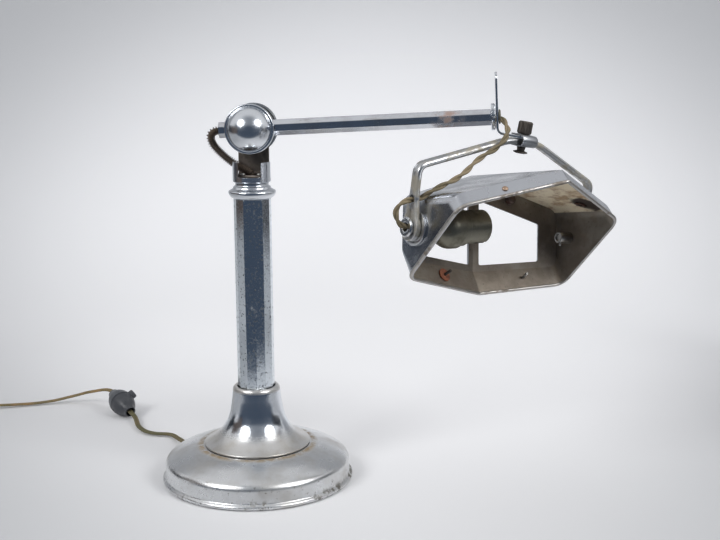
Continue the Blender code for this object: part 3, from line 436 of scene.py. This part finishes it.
def smooth_path(knots, spacing):
    """Evenly spaced points on a smooth curve through the knots."""
    curve = bpy.data.curves.new("guide", "CURVE")
    curve.dimensions = "3D"
    curve.resolution_u = 24
    spline = curve.splines.new("BEZIER")
    spline.bezier_points.add(len(knots) - 1)
    for knot, point in zip(spline.bezier_points, knots):
        knot.co = Vector(point)
        knot.handle_left_type = "AUTO"
        knot.handle_right_type = "AUTO"
    guide = bpy.data.objects.new("guide", curve)
    bpy.context.scene.collection.objects.link(guide)
    bpy.context.view_layer.update()
    mesh = guide.to_mesh()
    line = [v.co.copy() for v in mesh.vertices]
    guide.to_mesh_clear()
    bpy.data.objects.remove(guide)
    bpy.data.curves.remove(curve)
    out, carried = [line[0]], 0.0
    for a, b in zip(line, line[1:]):
        length = (b - a).length
        while carried + length >= spacing:
            t = (spacing - carried) / length
            a = a.lerp(b, t)
            out.append(a.copy())
            length = (b - a).length
            carried = 0.0
        carried += length
    return out + [line[-1]]


def wound(path, radius, pitch, phase, side=(0, 0, 1)):
    """A line that winds round a path at a radius, one turn each pitch."""
    out, run = [], 0.0
    for i, (point, (_, across, up)) in enumerate(zip(path, along(path, side))):
        if i:
            run += (point - path[i - 1]).length
        angle = phase + 2 * math.pi * run / pitch
        out.append(point + (across * math.cos(angle) + up * math.sin(angle)) * radius)
    return out


def piece(name, body, place, looks, sharp=35.0):
    """Make an object of a bmesh, set it in its frame and give it its looks."""
    mesh = bpy.data.meshes.new(name)
    body.to_mesh(mesh)
    body.free()
    obj = bpy.data.objects.new(name, mesh)
    bpy.context.scene.collection.objects.link(obj)
    obj.matrix_world = place
    for look in looks if isinstance(looks, list) else [looks]:
        mesh.materials.append(look)
    mesh.shade_smooth()
    mesh.set_sharp_from_angle(angle=math.radians(sharp))
    return obj


def settle(obj):
    """Write the piece's frame into its vertices, so that its box lies along the row's axes."""
    bpy.context.view_layer.update()
    obj.data.transform(obj.matrix_world)
    obj.matrix_world = Matrix()
    return obj


def stand_for(obj, body, node):
    """Let a finished piece ride on a body in place of that body's coarse solid."""
    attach(obj, body)
    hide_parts(node)


def turned(node, profile, place, body, look, steps=96):
    """A lathe-turned piece that stands for a node."""
    stand_for(piece(node + "_fine", lathe(profile, steps), place, look), body, node)


def rounded_edges(obj, width, segments, angle):
    mod = obj.modifiers.new("Edges", "BEVEL")
    mod.width = width * MM
    mod.segments = segments
    mod.limit_method = "ANGLE"
    mod.angle_limit = math.radians(angle)
    mod.harden_normals = True


def cutter(body, place):
    """A solid for a Boolean to read. It is removed as soon as the Boolean is applied."""
    mesh = bpy.data.meshes.new("cutter")
    body.to_mesh(mesh)
    body.free()
    obj = bpy.data.objects.new("cutter", mesh)
    bpy.context.scene.collection.objects.link(obj)
    obj.matrix_world = place
    return obj


def cut(obj, tools, operation="DIFFERENCE"):
    """Apply Booleans to an object that has no parent yet, and remove the tools."""
    for tool in tools:
        mod = obj.modifiers.new("Cut", "BOOLEAN")
        mod.operation = operation
        mod.solver = "EXACT"
        mod.object = tool
    bake(obj)
    for tool in tools:
        bpy.data.objects.remove(tool)


def bake(obj):
    """Replace an object's mesh with its evaluated one."""
    bpy.context.view_layer.update()
    graph = bpy.context.evaluated_depsgraph_get()
    mesh = bpy.data.meshes.new_from_object(obj.evaluated_get(graph), depsgraph=graph)
    obj.modifiers.clear()
    obj.data = mesh


def box_body(low, high):
    low, high = Vector(low) * MM, Vector(high) * MM
    body = bmesh.new()
    size = Matrix.Diagonal((*(high - low), 1.0))
    bmesh.ops.create_cube(body, size=1.0, matrix=Matrix.Translation((low + high) / 2) @ size)
    return body


def rod_body(radius, low, high, steps=48):
    return lathe([(0, high), (radius, high), (radius, low), (0, low)], steps)


# ---------------------------------------------------------------- base and column

CABLE_Z = 6.9
EXIT_ANGLE = math.radians(140.0)


def build_base():
    edge = [(14.0, 29.0), (30.0, 28.9), (44.0, 28.4), (52.0, 26.8), (58.0, 24.8), (66.0, 21.2),
            (70.5, 18.4), (72.3, 15.6), (72.9, 4.8), (74.3, 3.9), (75.0, 3.0), (75.0, 1.6), (74.0, 0.6)]
    inside = [(71.2, 0.6), (71.2, 15.2), (69.3, 17.4), (64.8, 20.2), (57.2, 23.5), (50.0, 25.6),
              (43.8, 27.0), (30.0, 27.5), (14.0, 27.6)]
    outside = [tuple(p) for p in soften(edge, 2.6)]
    shell = piece("base_shell_fine", lathe(outside + inside, 144), Matrix(), BASE_CHROME, 60.0)
    exit_hole = Matrix.Rotation(EXIT_ANGLE, 4, "Z") @ Matrix.Translation((0, 0, CABLE_Z * MM)) @ ALONG_X
    cut(shell, [cutter(rod_body(4.0, 60.0, 90.0), exit_hole)])
    stand_for(shell, "stand", "base_shell")
    bell = [(15.0, 75.0), (15.8, 75.3), (17.2, 75.1), (18.3, 73.6), (18.6, 71.8), (19.4, 64.0), (20.9, 55.0),
            (23.0, 48.0), (26.5, 42.0), (31.0, 36.6), (36.0, 32.8), (41.5, 30.2), (41.5, 29.2)]
    turned("base_bell", thicken(soften(bell, 2.6), 0.9), Matrix(), "stand", bell_chrome(), 128)


def build_collar():
    outer = [(12.9, 234.4), (12.9, 232.7), (14.4, 231.8), (14.7, 230.4), (16.2, 229.6), (18.15, 228.6),
             (18.15, 226.6), (17.2, 224.8), (15.6, 223.1), (11.9, 223.1), (11.9, 214.0), (6.4, 214.0)]
    inner = [(6.4, 226.0), (9.4, 226.0), (9.4, 234.4)]
    profile = [tuple(p) for p in soften(outer, 0.9)] + inner
    turned("column_collar", profile, Matrix(), "stand", CHROME)


# ---------------------------------------------------------------- head and ball joint

BLOCK_FRONT = 7.3
PLATE_Y = 9.9
PLATE_T = 2.6
CAP_GAP = 0.4
DOME_R = 16.6
DOME_HEIGHT = 14.0


def build_crown():
    cup = [(4.4, 237.4), (12.9, 237.4), (12.9, 250.6), (14.65, 250.6), (14.65, 235.8), (13.4, 234.8),
           (9.0, 234.8), (9.0, 226.4), (4.4, 226.4)]
    crown = piece("head_crown_fine", lathe(cup, 96), HEAD, CHROME)
    holes = [cutter(rod_body(1.35, 235.4, 246.0, 16), HEAD @ Matrix.Translation((x * MM, -4.3 * MM, 0)))
             for x in (-6.3, 6.3)]
    cut(crown, [cutter(box_body((-20, -1.4, 237.6), (20, 20, 260)), HEAD),
                cutter(box_body((-8.7, -20, 239.4), (8.7, 0, 260)), HEAD)] + holes)
    stand_for(crown, "head", "head_crown")
    rounded_edges(crown, 0.6, 4, 35.0)


def dome_profile(base):
    """Pressed cap with a rolled rim, standing off the ball's middle by base."""
    foot = base + 1.5
    sphere = (DOME_R ** 2 + DOME_HEIGHT ** 2) / (2 * DOME_HEIGHT)
    reach = math.asin(DOME_R / sphere) * 0.98
    line = []
    for i in range(21):
        angle = reach * i / 20
        line.append((sphere * math.sin(angle), foot + DOME_HEIGHT - sphere * (1 - math.cos(angle))))
    roll = soften([(16.7, foot + 0.5), (17.1, foot + 0.25), (18.4, foot + 0.35), (18.9, foot - 0.4),
                   (18.9, base)], 0.5)
    line += [tuple(p) for p in roll]
    closed = thicken(line, 1.0)
    inner = [p for p in closed[len(line):] if p[0] > 0.01]
    return line + inner[:-1] + [(0.0, foot + DOME_HEIGHT - 1.0)]


def build_ball():
    """A cap on the block's front face, and one behind the plate."""
    front = BLOCK_FRONT + CAP_GAP
    rear = PLATE_Y + PLATE_T + CAP_GAP
    turned("front_dome", dome_profile(front), BALL @ TO_FRONT, "guide", CHROME)
    turned("rear_dome", dome_profile(rear), BALL @ ALONG_Y, "head", CHROME)


# ---------------------------------------------------------------- yoke

YOKE_DROP = 70.5
YOKE_SHIFT = -7.0
YOKE_FOOT = 80.2
YOKE_KNEE = (83.5, -26.0)
YOKE_FLAT = 13.0
YOKE_T = 4.2
YOKE_HALF_W = 4.2
FOOT_R = 10.0
NIPPLE_BORE = 5.4
PIN_BORE = 2.9
CORD_HOLE_Z = 20.2 - YOKE_DROP


def bar_outline(half_width):
    """Section of the yoke's bar, with its four edges worn round."""
    thick = YOKE_T / 2
    quarter = [(half_width, thick * 0.2), (half_width - 0.5, thick * 0.75), (half_width - 1.3, thick)]
    upper = quarter + [(-a, b) for a, b in reversed(quarter)]
    return upper + [(a, -b) for a, b in reversed(upper)]


def leg_stations(foot, knee):
    """Points up one leg with the bar's half width at each, wide at the foot."""
    flare = [(0.0, 7.8), (0.14, 7.7), (0.28, 6.8), (0.38, 5.6), (0.48, 4.8), (0.58, 4.4), (0.68, YOKE_HALF_W)]
    return [(foot.lerp(knee, t), half_width) for t, half_width in flare]


def yoke_stations():
    """Points along the whole bar from the left foot to the right, with the half width at each."""
    knee_x, knee_z = YOKE_KNEE
    left_foot = Vector((YOKE_SHIFT - YOKE_FOOT, 0, -YOKE_DROP))
    left_knee = Vector((YOKE_SHIFT - knee_x, 0, knee_z))
    right_foot = Vector((YOKE_SHIFT + YOKE_FOOT, 0, -YOKE_DROP))
    right_knee = Vector((YOKE_SHIFT + knee_x, 0, knee_z))
    top = soften([left_foot.lerp(left_knee, 0.72), left_knee, (-YOKE_FLAT, 0, 0), (YOKE_FLAT, 0, 0),
                  right_knee, right_foot.lerp(right_knee, 0.72)], 7.0, 8)
    return (leg_stations(left_foot, left_knee) + [(point, YOKE_HALF_W) for point in top]
            + leg_stations(right_foot, right_knee)[::-1])


def on_yoke(x, z):
    """A frame on the yoke's middle plane with its Z across the legs."""
    return YOKE @ Matrix.Translation((x * MM, 0, z * MM)) @ ALONG_X


def build_yoke():
    stations = yoke_stations()
    line = [point for point, _ in stations]
    outlines = [bar_outline(half_width) for _, half_width in stations]
    bar = piece("yoke_bar_fine", sweep(line, outlines, (0, 1, 0)), YOKE, YOKE_CHROME, 40.0)
    thick = YOKE_T / 2
    disc = [(0, thick), (FOOT_R - 0.6, thick), (FOOT_R, thick - 0.6), (FOOT_R, 0.6 - thick),
            (FOOT_R - 0.6, -thick), (0, -thick)]
    feet, holes = [], []
    for side, bore in ((-1, NIPPLE_BORE), (1, PIN_BORE)):
        spot = on_yoke(YOKE_SHIFT + side * YOKE_FOOT, -YOKE_DROP)
        feet.append(cutter(lathe(disc, 64), spot))
        holes.append(cutter(rod_body(bore, -6, 6), spot))
    cut(bar, feet, "UNION")
    holes.append(cutter(rod_body(3.1, -10, 6, 24), on_yoke(YOKE_SHIFT - YOKE_FOOT, CORD_HOLE_Z)))
    holes.append(cutter(rod_body(2.3, -6, 6, 24), YOKE))
    cut(bar, holes)
    bar.data.shade_smooth()
    bar.data.set_sharp_from_angle(angle=math.radians(40))
    stand_for(bar, "yoke", "yoke_bar")


# ---------------------------------------------------------------- shade

HALF = 76.0
RIM = [(-71.5, 0.0), (-38.3, 0.0), (38.3, 0.0), (53.3, 0.0)]
BEZEL = [(-71.5, 12.0), (-38.3, 12.0), (37.8, 2.4), (52.8, 2.4)]
BACK = [(2.7, 79.0), (5.7, 51.7), (34.7, 16.5), (49.5, 19.5)]
PIVOT = Vector((0, 8.4, 23.5))
CORNER_R = 9.0
FOLD_R = 1.2
SHEET_T = 1.5
STRUT_HALF = 5.3
WINDOW_END = 58.0
WINDOW_TOP = 18.0
WINDOW_FOOT = 5.4
STAR_HOLE = Vector((60.9, -31.1, 20.7)) - PIVOT


def six_corners(section):
    """The ridge, the right side, the keel and the left side, from four (y, z) pairs."""
    ridge, eave, drop, keel = section
    return [Vector((0, *ridge)), Vector((HALF, *eave)), Vector((HALF, *drop)), Vector((0, *keel)),
            Vector((-HALF, *drop)), Vector((-HALF, *eave))]


def rounded_ring(section, steps=8):
    """The outline as points that start in the middle of the ridge's rounding."""
    corners = six_corners(section)
    out = []
    for i, corner in enumerate(corners):
        before, after = corners[i - 1], corners[(i + 1) % 6]
        radius = FOLD_R if i in (0, 3) else CORNER_R
        start = corner + (before - corner).normalized() * radius
        end = corner + (after - corner).normalized() * radius
        for k in range(steps + 1):
            t = k / steps
            out.append(start * (1 - t) ** 2 + corner * (2 * t * (1 - t)) + end * t ** 2)
    middle = steps // 2
    return out[middle:] + out[:middle]


def shade_surface():
    """The folded sheet's outside: bezel band, six walls, and a back of two halves."""
    rings = [rounded_ring(section) for section in (RIM, BEZEL, BACK)]
    count = len(rings[0])
    body = bmesh.new()
    knots = [[body.verts.new((p - PIVOT) * MM) for p in ring] for ring in rings]
    right_roof = range(0, count // 6)
    for level in (0, 1):
        near, far = knots[level], knots[level + 1]
        for i in range(count):
            j = (i + 1) % count
            face = body.faces.new((near[i], near[j], far[j], far[i]))
            face.material_index = 1 if level and i in right_roof else 0
    keel = count // 2
    body.faces.new(knots[2][:keel + 1])
    body.faces.new(knots[2][keel:] + knots[2][:1])
    bmesh.ops.recalc_face_normals(body, faces=body.faces)
    body.faces.ensure_lookup_table()
    if body.faces[0].normal.y > 0:
        bmesh.ops.reverse_faces(body, faces=body.faces)
    return body


def window_body(side):
    """The opening in one half of the back, between the strut, the end and two edge margins."""
    ridge, eave, drop, keel = six_corners(BACK)[:4]
    corners = []
    for x in (STRUT_HALF, WINDOW_END):
        top, bottom = ridge.lerp(eave, x / HALF), keel.lerp(drop, x / HALF)
        way = (bottom - top).normalized()
        corners.append((top + way * WINDOW_TOP, bottom - way * WINDOW_FOOT))
    points = [corners[0][0], corners[1][0], corners[1][1], corners[0][1]]
    points = [Vector((side * p.x, p.y, p.z)) - PIVOT for p in points]
    normal = (points[1] - points[0]).cross(points[2] - points[0]).normalized()
    body = bmesh.new()
    loop = []
    for i, corner in enumerate(points):
        before, after = points[i - 1], points[(i + 1) % 4]
        start = corner + (before - corner).normalized() * 1.6
        end = corner + (after - corner).normalized() * 1.6
        for t in (0.0, 0.33, 0.67, 1.0):
            loop.append(start * (1 - t) ** 2 + corner * (2 * t * (1 - t)) + end * t ** 2)
    face = body.faces.new([body.verts.new((p - normal * 7) * MM) for p in loop])
    moved = bmesh.ops.extrude_face_region(body, geom=[face])["geom"]
    tops = [v for v in moved if isinstance(v, bmesh.types.BMVert)]
    bmesh.ops.translate(body, verts=tops, vec=normal * 14 * MM)
    bmesh.ops.recalc_face_normals(body, faces=body.faces)
    return body


def build_shade():
    looks = [SHEET, SHEET, aged_sheet(), burnt_enamel(SHADE @ (STAR_HOLE * MM))]
    shell = piece("shade_shell_fine", shade_surface(), SHADE, looks)
    thick = shell.modifiers.new("Thickness", "SOLIDIFY")
    thick.thickness = SHEET_T * MM
    thick.offset = -1.0
    thick.use_even_offset = True
    thick.material_offset = 2
    bake(shell)
    tools = [cutter(window_body(side), SHADE) for side in (-1, 1)]
    tools.append(cutter(rod_body(NIPPLE_BORE, -90, -65), SHADE @ ALONG_X))
    tools.append(cutter(rod_body(PIN_BORE, 65, 90), SHADE @ ALONG_X))
    cut(shell, tools)
    shell.data.shade_smooth()
    shell.data.set_sharp_from_angle(angle=math.radians(24))
    stand_for(settle(shell), "shade", "shade_shell")
    rounded_edges(shell, 0.45, 3, 28.0)


def build_rim_bead():
    """The rolled edge of the sheet round the shade's mouth."""
    ring = [p - PIVOT for p in rounded_ring([(y + 0.7 if y < 0 else y - 0.7, 1.0) for y, _ in RIM])]
    count, body = len(ring), bmesh.new()
    rows = []
    for i, point in enumerate(ring):
        way = (ring[(i + 1) % count] - ring[i - 1]).normalized()
        out = way.cross(Vector((0, 0, 1)))
        rows.append([body.verts.new((point + out * a + Vector((0, 0, b))) * MM) for a, b in circle(1.35, 12)])
    for i, one in enumerate(rows):
        two = rows[(i + 1) % count]
        for k in range(12):
            body.faces.new((one[k], one[(k + 1) % 12], two[(k + 1) % 12], two[k]))
    bmesh.ops.recalc_face_normals(body, faces=body.faces)
    bead = piece("shade_rim_bead", body, SHADE, RIM_METAL, 60.0)
    stand_for(settle(bead), "shade", "shade_shell")


# ---------------------------------------------------------------- lampholder

HOLDER_SEAT = -62.0
HOLDER_TILT = math.radians(5.5)
HOLDER_WAY = math.radians(139.3)
BARREL_END = -15.2
SLOT_TURN = math.radians(-62)


def holder_place():
    """The lampholder leans on its nipple, its mouth higher than the pivot line."""
    seat = Matrix.Translation((HOLDER_SEAT * MM, 0, 0))
    turn = Matrix.Rotation(HOLDER_TILT, 4, Vector((0, -math.sin(HOLDER_WAY), math.cos(HOLDER_WAY))))
    return SHADE @ seat @ turn @ seat.inverted()


def build_lampholder():
    place = holder_place()
    cap = soften([(15.0, -40.6), (15.3, -41.4), (15.3, -47.8), (14.6, -50.6), (12.6, -54.4), (9.6, -57.6),
                  (7.5, -59.6), (7.3, -64.5), (5.8, -64.5)], 2.2)
    cap = [tuple(p) for p in cap] + [(5.8, -58.6), (8.2, -56.6), (11.4, -53.4), (13.2, -49.8),
                                     (13.9, -47.4), (13.9, -40.6)]
    turned("lampholder_cap", cap, place @ ALONG_X, "shade", BRASS, 64)
    ring = [(13.3, -34.6), (13.8, -35.1), (13.8, -39.7), (13.4, -40.2), (12.7, -40.2), (12.7, -34.6)]
    turned("lampholder_ring", ring, place @ ALONG_X, "shade", BRASS, 64)
    slot = BARREL_END - 9.8
    tube = [(11.4, BARREL_END), (12.0, BARREL_END + 0.3), (12.4, BARREL_END - 0.1), (12.4, -40.5),
            (11.4, -40.5)]
    barrel = piece("lampholder_barrel_fine", lathe(tube, 96), place @ ALONG_X, BRASS)
    turn = place @ Matrix.Rotation(SLOT_TURN, 4, "X")
    cut(barrel, [cutter(box_body((slot, -14, -1.4), (0, 14, 1.4)), turn),
                 cutter(box_body((slot, -14, -1.2), (slot + 3.0, 14, 4.4)), turn)])
    stand_for(barrel, "shade", "lampholder_barrel")


# ---------------------------------------------------------------- cords and switch

SWITCH_AXIS = Vector((-0.575, 0.787, 0.225)).normalized()
SWITCH_LEN = 38.0
SWITCH_R = 11.0
BAR_TURN = math.radians(35)
PLUG_TURN = math.radians(4.5)


def switch_middle():
    """Middle of the box round both halves of the switch."""
    boxes = [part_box(node) for node in ("switch_lower", "switch_upper")]
    return sum((low + high for low, high in boxes), Vector()) / 4


def build_switch():
    """Two domed halves that meet across the cable's line, with a groove where they meet."""
    side = SWITCH_AXIS.cross(UP).normalized()
    up = side.cross(SWITCH_AXIS)
    bar = side * math.cos(BAR_TURN) + up * math.sin(BAR_TURN)
    place = frame_of(switch_middle(), bar, SWITCH_AXIS.cross(bar), SWITCH_AXIS)
    hole = box_body((-14.0, -3.4, -4.2), (14.0, 3.4, 4.2))
    half = SWITCH_LEN / 2
    for node, sign, look in (("switch_lower", -1, BAKELITE), ("switch_upper", 1, PALE_BAKELITE)):
        line = [(4.4, half), (5.0, half - 0.6)]
        for i in range(1, 8):
            angle = math.radians(24 + 8.6 * i)
            line.append((SWITCH_R * math.sin(angle), (half - 2.0) * math.cos(angle)))
        line += [(SWITCH_R, 0.8), (10.3, 0.7), (10.3, 0.15), (8.9, 0.15), (8.9, 3.0), (7.6, 9.0), (4.4, 14.5)]
        profile = [(radius, sign * z) for radius, z in line]
        shell = piece(node + "_fine", lathe(profile, 64), place, look, 30.0)
        cut(shell, [cutter(hole.copy(), place)])
        stand_for(settle(shell), "stand", node)
    hole.free()


def flat_twin(name, knots, node, side, look):
    """Two cotton-covered wires side by side; side is square to the first run."""
    path = smooth_path(knots, 2.0)
    ways = along(path, side)
    for tag, shift in (("a", -1.05), ("b", 1.05)):
        line = [p + up * shift for p, (_, _, up) in zip(path, ways)]
        wire = piece(name + "_" + tag, sweep(line, circle(1.15, 12), side), Matrix(), look,
                     60.0)
        stand_for(wire, "stand", node)


def build_table_cords():
    out = Vector((math.cos(EXIT_ANGLE), math.sin(EXIT_ANGLE), 0.0))
    lift = Vector((0, 0, CABLE_Z))
    middle = switch_middle() / MM
    low_end = middle - SWITCH_AXIS * (SWITCH_LEN / 2 - 2)
    high_end = middle + SWITCH_AXIS * (SWITCH_LEN / 2 - 2)
    flat_twin("feeder_cord", [(0, 0, 229), (0, 0, 120), (0, 0, 24), out * 3 + Vector((0, 0, 12.8)),
                              out * 12 + Vector((0, 0, 8.2)), out * 22 + lift, out * 60 + lift,
                              out * 82 + lift, (-76, 78, 4.0), (-86, 93, 2.6), (-102, 97, 2.6),
                              (-114, 108, 3.0), low_end - SWITCH_AXIS * 9, low_end],
              "feeder_cable", out, OLIVE_CORD)
    plug_low, plug_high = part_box("plug_body")
    into_plug = Vector((-math.cos(PLUG_TURN), math.sin(PLUG_TURN), 0))
    mouth = Vector((plug_high.x / MM - 0.7, (plug_low.y + plug_high.y) / 2 / MM - 0.6,
                    (plug_low.z + plug_high.z) / 2 / MM))
    flat_twin("supply_cord", [high_end, high_end + SWITCH_AXIS * 9, (-176, 186, 14.0), (-196, 195, 7.0),
                              (-218, 191, 3.0), (-250, 182, 2.6), (-274, 175.5, 4.6),
                              mouth - into_plug * 9 - Vector((0, 0, 1.2)), mouth, mouth + into_plug * 9],
              "supply_cable", UP, TAN_CORD)


def build_shade_cord():
    """Two strands twisted together, through the hole in the left leg and into the nipple."""
    left = YOKE_SHIFT - YOKE_FOOT
    knots = [(-20.9, 15.3, 13.9), (-18.2, 12.6, 14.8), (-16.6, 6.0, 13.0), (-18.0, -1.5, 8.6),
             (-22.4, -7.8, 4.1), (-26.6, -9.4, -1.4), (-31.0, -8.6, -6.6), (-38.3, -7.8, -11.8),
             (-46.8, -8.0, -18.2), (-53.5, -9.0, -24.6), (-63.4, -10.2, -31.6), (-73.4, -9.2, -37.4),
             (-80.6, -6.2, -43.2), (left + 2.6, -2.0, CORD_HOLE_Z + 1.6), (left - 1.6, 0, CORD_HOLE_Z),
             (left - 9.0, 0, CORD_HOLE_Z - 2.0), (left - 14.7, 0, CORD_HOLE_Z - 7.4),
             (left - 14.5, 0, CORD_HOLE_Z - 12.4),
             (left - 10.0, 0, 1.9 - YOKE_DROP), (left - 2.5, 0, -YOKE_DROP), (left + 14.0, 0, -YOKE_DROP)]
    path = smooth_path(knots, 0.8)
    for tag, phase in (("a", 0.0), ("b", math.pi)):
        line = wound(path, 1.0, 26.0, phase)
        strand = piece("shade_cord_" + tag, sweep(line, circle(1.18)), YOKE, CORD, 60.0)
        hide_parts("shade_cord")
        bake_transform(strand)


def build_spring_cord():
    """The cord from the column to the arm's rear end, wound with wire, in two runs."""
    rise = math.atan2(ARM_X.z, math.hypot(ARM_X.x, ARM_X.y))

    def on_arm(x):
        return (x * math.cos(rise), 0.0, BALL_Z + x * math.sin(rise))

    knots = [(0, 0, 231.0), (0, 0, 240.5), (-7.0, 2.6, 245.0), (-15.0, 3.6, 249.5), (-24.5, 2.6, 257.5),
             (-30.5, 1.0, 266.0), (-30.0, 0.0, 271.6), on_arm(-23.0), on_arm(-16.0)]
    path = smooth_path(knots, 0.15)
    split = next(i for i, p in enumerate(path) if p.z > 266.0)
    pieces = (("lower", path[:split + 2], "head", "guide", (-6.0, 0, 244.0), (-29.0, 0, 264.0)),
              ("upper", path[split:], "guide", "arm", (-30.5, 0, 267.0), (-23.5, 0, 273.5)))
    for tag, line, first, second, start, end in pieces:
        coil = wound(line, 2.95, 1.7, 0.0, (0, 1, 0))
        spring = piece("spring_coil_" + tag, sweep(coil, circle(0.42, 6), (0, 1, 0)), HEAD, SPRING,
                       80.0)
        core_line = line[::8] + [line[-1]]
        core = piece("spring_core_" + tag, sweep(core_line, circle(2.1, 16), (0, 1, 0)), HEAD, BROWN_CORD,
                     80.0)
        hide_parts("spring_sleeve")
        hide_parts("spring_cord")
        for obj in (spring, core):
            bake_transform(obj)


# ---------------------------------------------------------------- solids that keep their own shape

FACETED = ("column_tube", "arm_tube")
EDGE_WIDTHS = {"column_tube": 0.35, "arm_tube": 0.35, "head_plate": 0.35, "hanger_strap": 0.35,
               "clip": 0.25, "switch_bar": 0.3, "base_weight": 0.8, "thumb_nut": 0.35}


def dress_solids():
    """Give every solid of the frame its look, and the ones that show a small edge rounding."""
    slots = {part["node"]: part["material_slot"] for part in frame["record"]["subparts"]}
    for node, obj in frame["nodes"].items():
        obj.data.materials.clear()
        obj.data.materials.append(NODE_LOOKS.get(node, SLOT_LOOKS[slots[node]]))
        if obj.hide_render:
            continue
        weld = obj.modifiers.new("Weld", "WELD")
        weld.merge_threshold = 0.000002
        rounded_edges(obj, EDGE_WIDTHS.get(node, 0.12), 2, 20.0 if node in FACETED else 32.0)
        if node in FACETED:
            obj.data.shade_flat()
        else:
            obj.data.shade_smooth()


# ---------------------------------------------------------------- studio

def soft_light(name, position):
    """A round diffuser turned towards the column."""
    light = bpy.data.lights.new(name, "AREA")
    light.shape = "DISK"
    light.size = 0.60
    light.energy = 9.5
    obj = bpy.data.objects.new(name, light)
    bpy.context.scene.collection.objects.link(obj)
    obj.location = position
    obj.rotation_euler = (Vector((0, 0, 0.15)) - Vector(position)).to_track_quat("-Z", "Y").to_euler()


def card(name, x, front, back, low, high, look):
    """An upright board beside the lamp, for the metal to mirror."""
    body = bmesh.new()
    corners = [(x, front, low), (x, back, low), (x, back, high), (x, front, high)]
    body.faces.new([body.verts.new(c) for c in corners])
    piece(name, body, Matrix(), look)


def paper():
    """White sweep with painted shade that darkens its tone towards the picture's corners, and a painted glow that
    brightens its upper part.
    """
    look = Look("paper")
    window = look.nodes.new("ShaderNodeTexCoord").outputs["Window"]
    away = look.nodes.new("ShaderNodeVectorMath")
    away.operation = "DISTANCE"
    look.links.new(window, away.inputs[0])
    away.inputs[1].default_value = (0.52, 0.46, 0.0)
    # Painted shade: the paper's tone darkens with distance from a point of the picture, towards its corners.
    painted_corner_shade = look.step(away.outputs["Value"], 0.22, 0.82)
    tone = look.mix(painted_corner_shade, (0.80, 0.797, 0.805), (0.46, 0.467, 0.478))
    look.bump(look.noise(400.0, 4.0), 0.02)
    split = look.nodes.new("ShaderNodeSeparateXYZ")
    look.links.new(window, split.inputs["Vector"])
    # Painted glow: emission that brightens the paper towards the top of the picture, weaker towards the corners.
    lift = look.math("MULTIPLY", look.step(split.outputs["Y"], 0.0, 0.70, 0.0, 0.33),
                     look.step(painted_corner_shade, 0.0, 1.0, 1.0, 0.5))
    look.shader.inputs["Emission Color"].default_value = (1.0, 1.0, 1.02, 1.0)
    look.feed(look.shader.inputs["Emission Strength"], lift)
    return look.finish(tone, 0.9, 0.0)


def build_backdrop():
    """A sheet of paper that runs back over the table and curves up."""
    floor = bmesh.new()
    front, back, top, half = -0.29, 1.25, 2.2, 2.6
    line = soften([(front, 0.0), (back, 0.0), (back + 0.25, top)], 0.6, 16)
    rows = [[floor.verts.new((x, p[0], p[1])) for x in (-half, half)] for p in line]
    for one, two in zip(rows, rows[1:]):
        floor.faces.new((one[0], one[1], two[1], two[0]))
    piece("backdrop", floor, Matrix(), paper(), 80.0)


def build_studio():
    build_backdrop()
    dark = plain("studio_dark", (0.030, 0.036, 0.048), (0.045, 0.050, 0.060), 0.9, spread=3.0, bump=0.0)
    brown = plain("studio_brown", (0.16, 0.12, 0.10), (0.07, 0.06, 0.06), 0.9, spread=9.0, bump=0.0)
    card("card_left", -0.55, -0.36, 0.06, 0.12, 0.38, brown)
    card("card_right", 0.62, -0.24, 0.20, 0.08, 0.30, dark)
    card("card_far_left", -1.4, 0.15, 1.0, 0.0, 0.50, dark)
    build_world()
    soft_light("softbox_left", (-0.79, -0.80, 0.92))
    soft_light("softbox_right", (0.93, -0.64, 0.92))


def build_world():
    """Light room: bright behind and at the sides, dimmer above the camera, dark below it in front."""
    world = bpy.data.worlds.new("studio")
    bpy.context.scene.world = world
    world.use_nodes = True
    nodes, links = world.node_tree.nodes, world.node_tree.links
    coords = nodes.new("ShaderNodeTexCoord")
    split = nodes.new("ShaderNodeSeparateXYZ")
    links.new(coords.outputs["Generated"], split.inputs["Vector"])

    def step(axis, low, high):
        node = nodes.new("ShaderNodeMapRange")
        node.interpolation_type = "SMOOTHSTEP"
        links.new(split.outputs[axis], node.inputs["Value"])
        node.inputs["From Min"].default_value = low
        node.inputs["From Max"].default_value = high
        return node.outputs["Result"]

    def blend(factor, a, b):
        node = nodes.new("ShaderNodeMix")
        node.data_type = "RGBA"
        links.new(factor, node.inputs["Factor"])
        for name, tone in (("A", a), ("B", b)):
            if isinstance(tone, tuple):
                node.inputs[name].default_value = (*tone, 1.0)
            else:
                links.new(tone, node.inputs[name])
        return node.outputs["Result"]

    above = blend(step("Y", -0.05, -0.55), (0.74, 0.745, 0.76), (0.25, 0.27, 0.30))
    mask = nodes.new("ShaderNodeMath")
    mask.operation = "MULTIPLY"
    links.new(step("Y", -0.10, -0.34), mask.inputs[0])
    links.new(step("Z", 0.50, 0.24), mask.inputs[1])
    tone = blend(mask.outputs[0], above, (0.058, 0.078, 0.112))
    links.new(tone, nodes["Background"].inputs["Color"])


def build_camera():
    camera = bpy.data.cameras.new("camera")
    camera.lens = 56.4
    camera.sensor_width = 36.0
    obj = bpy.data.objects.new("camera", camera)
    bpy.context.scene.collection.objects.link(obj)
    look = Matrix.Rotation(math.radians(90 - 10.626), 4, "X") @ Matrix.Rotation(math.radians(-0.237), 4, "Z")
    obj.matrix_world = Matrix.Translation((0.0819, -0.856, 0.3271)) @ look
    bpy.context.scene.camera = obj
    bpy.context.scene.view_settings.view_transform = "Standard"


build_base()
build_collar()
build_crown()
build_ball()
build_yoke()
build_shade()
build_rim_bead()
build_lampholder()
build_switch()
build_table_cords()
build_shade_cord()
build_spring_cord()
dress_solids()
build_studio()
build_camera()
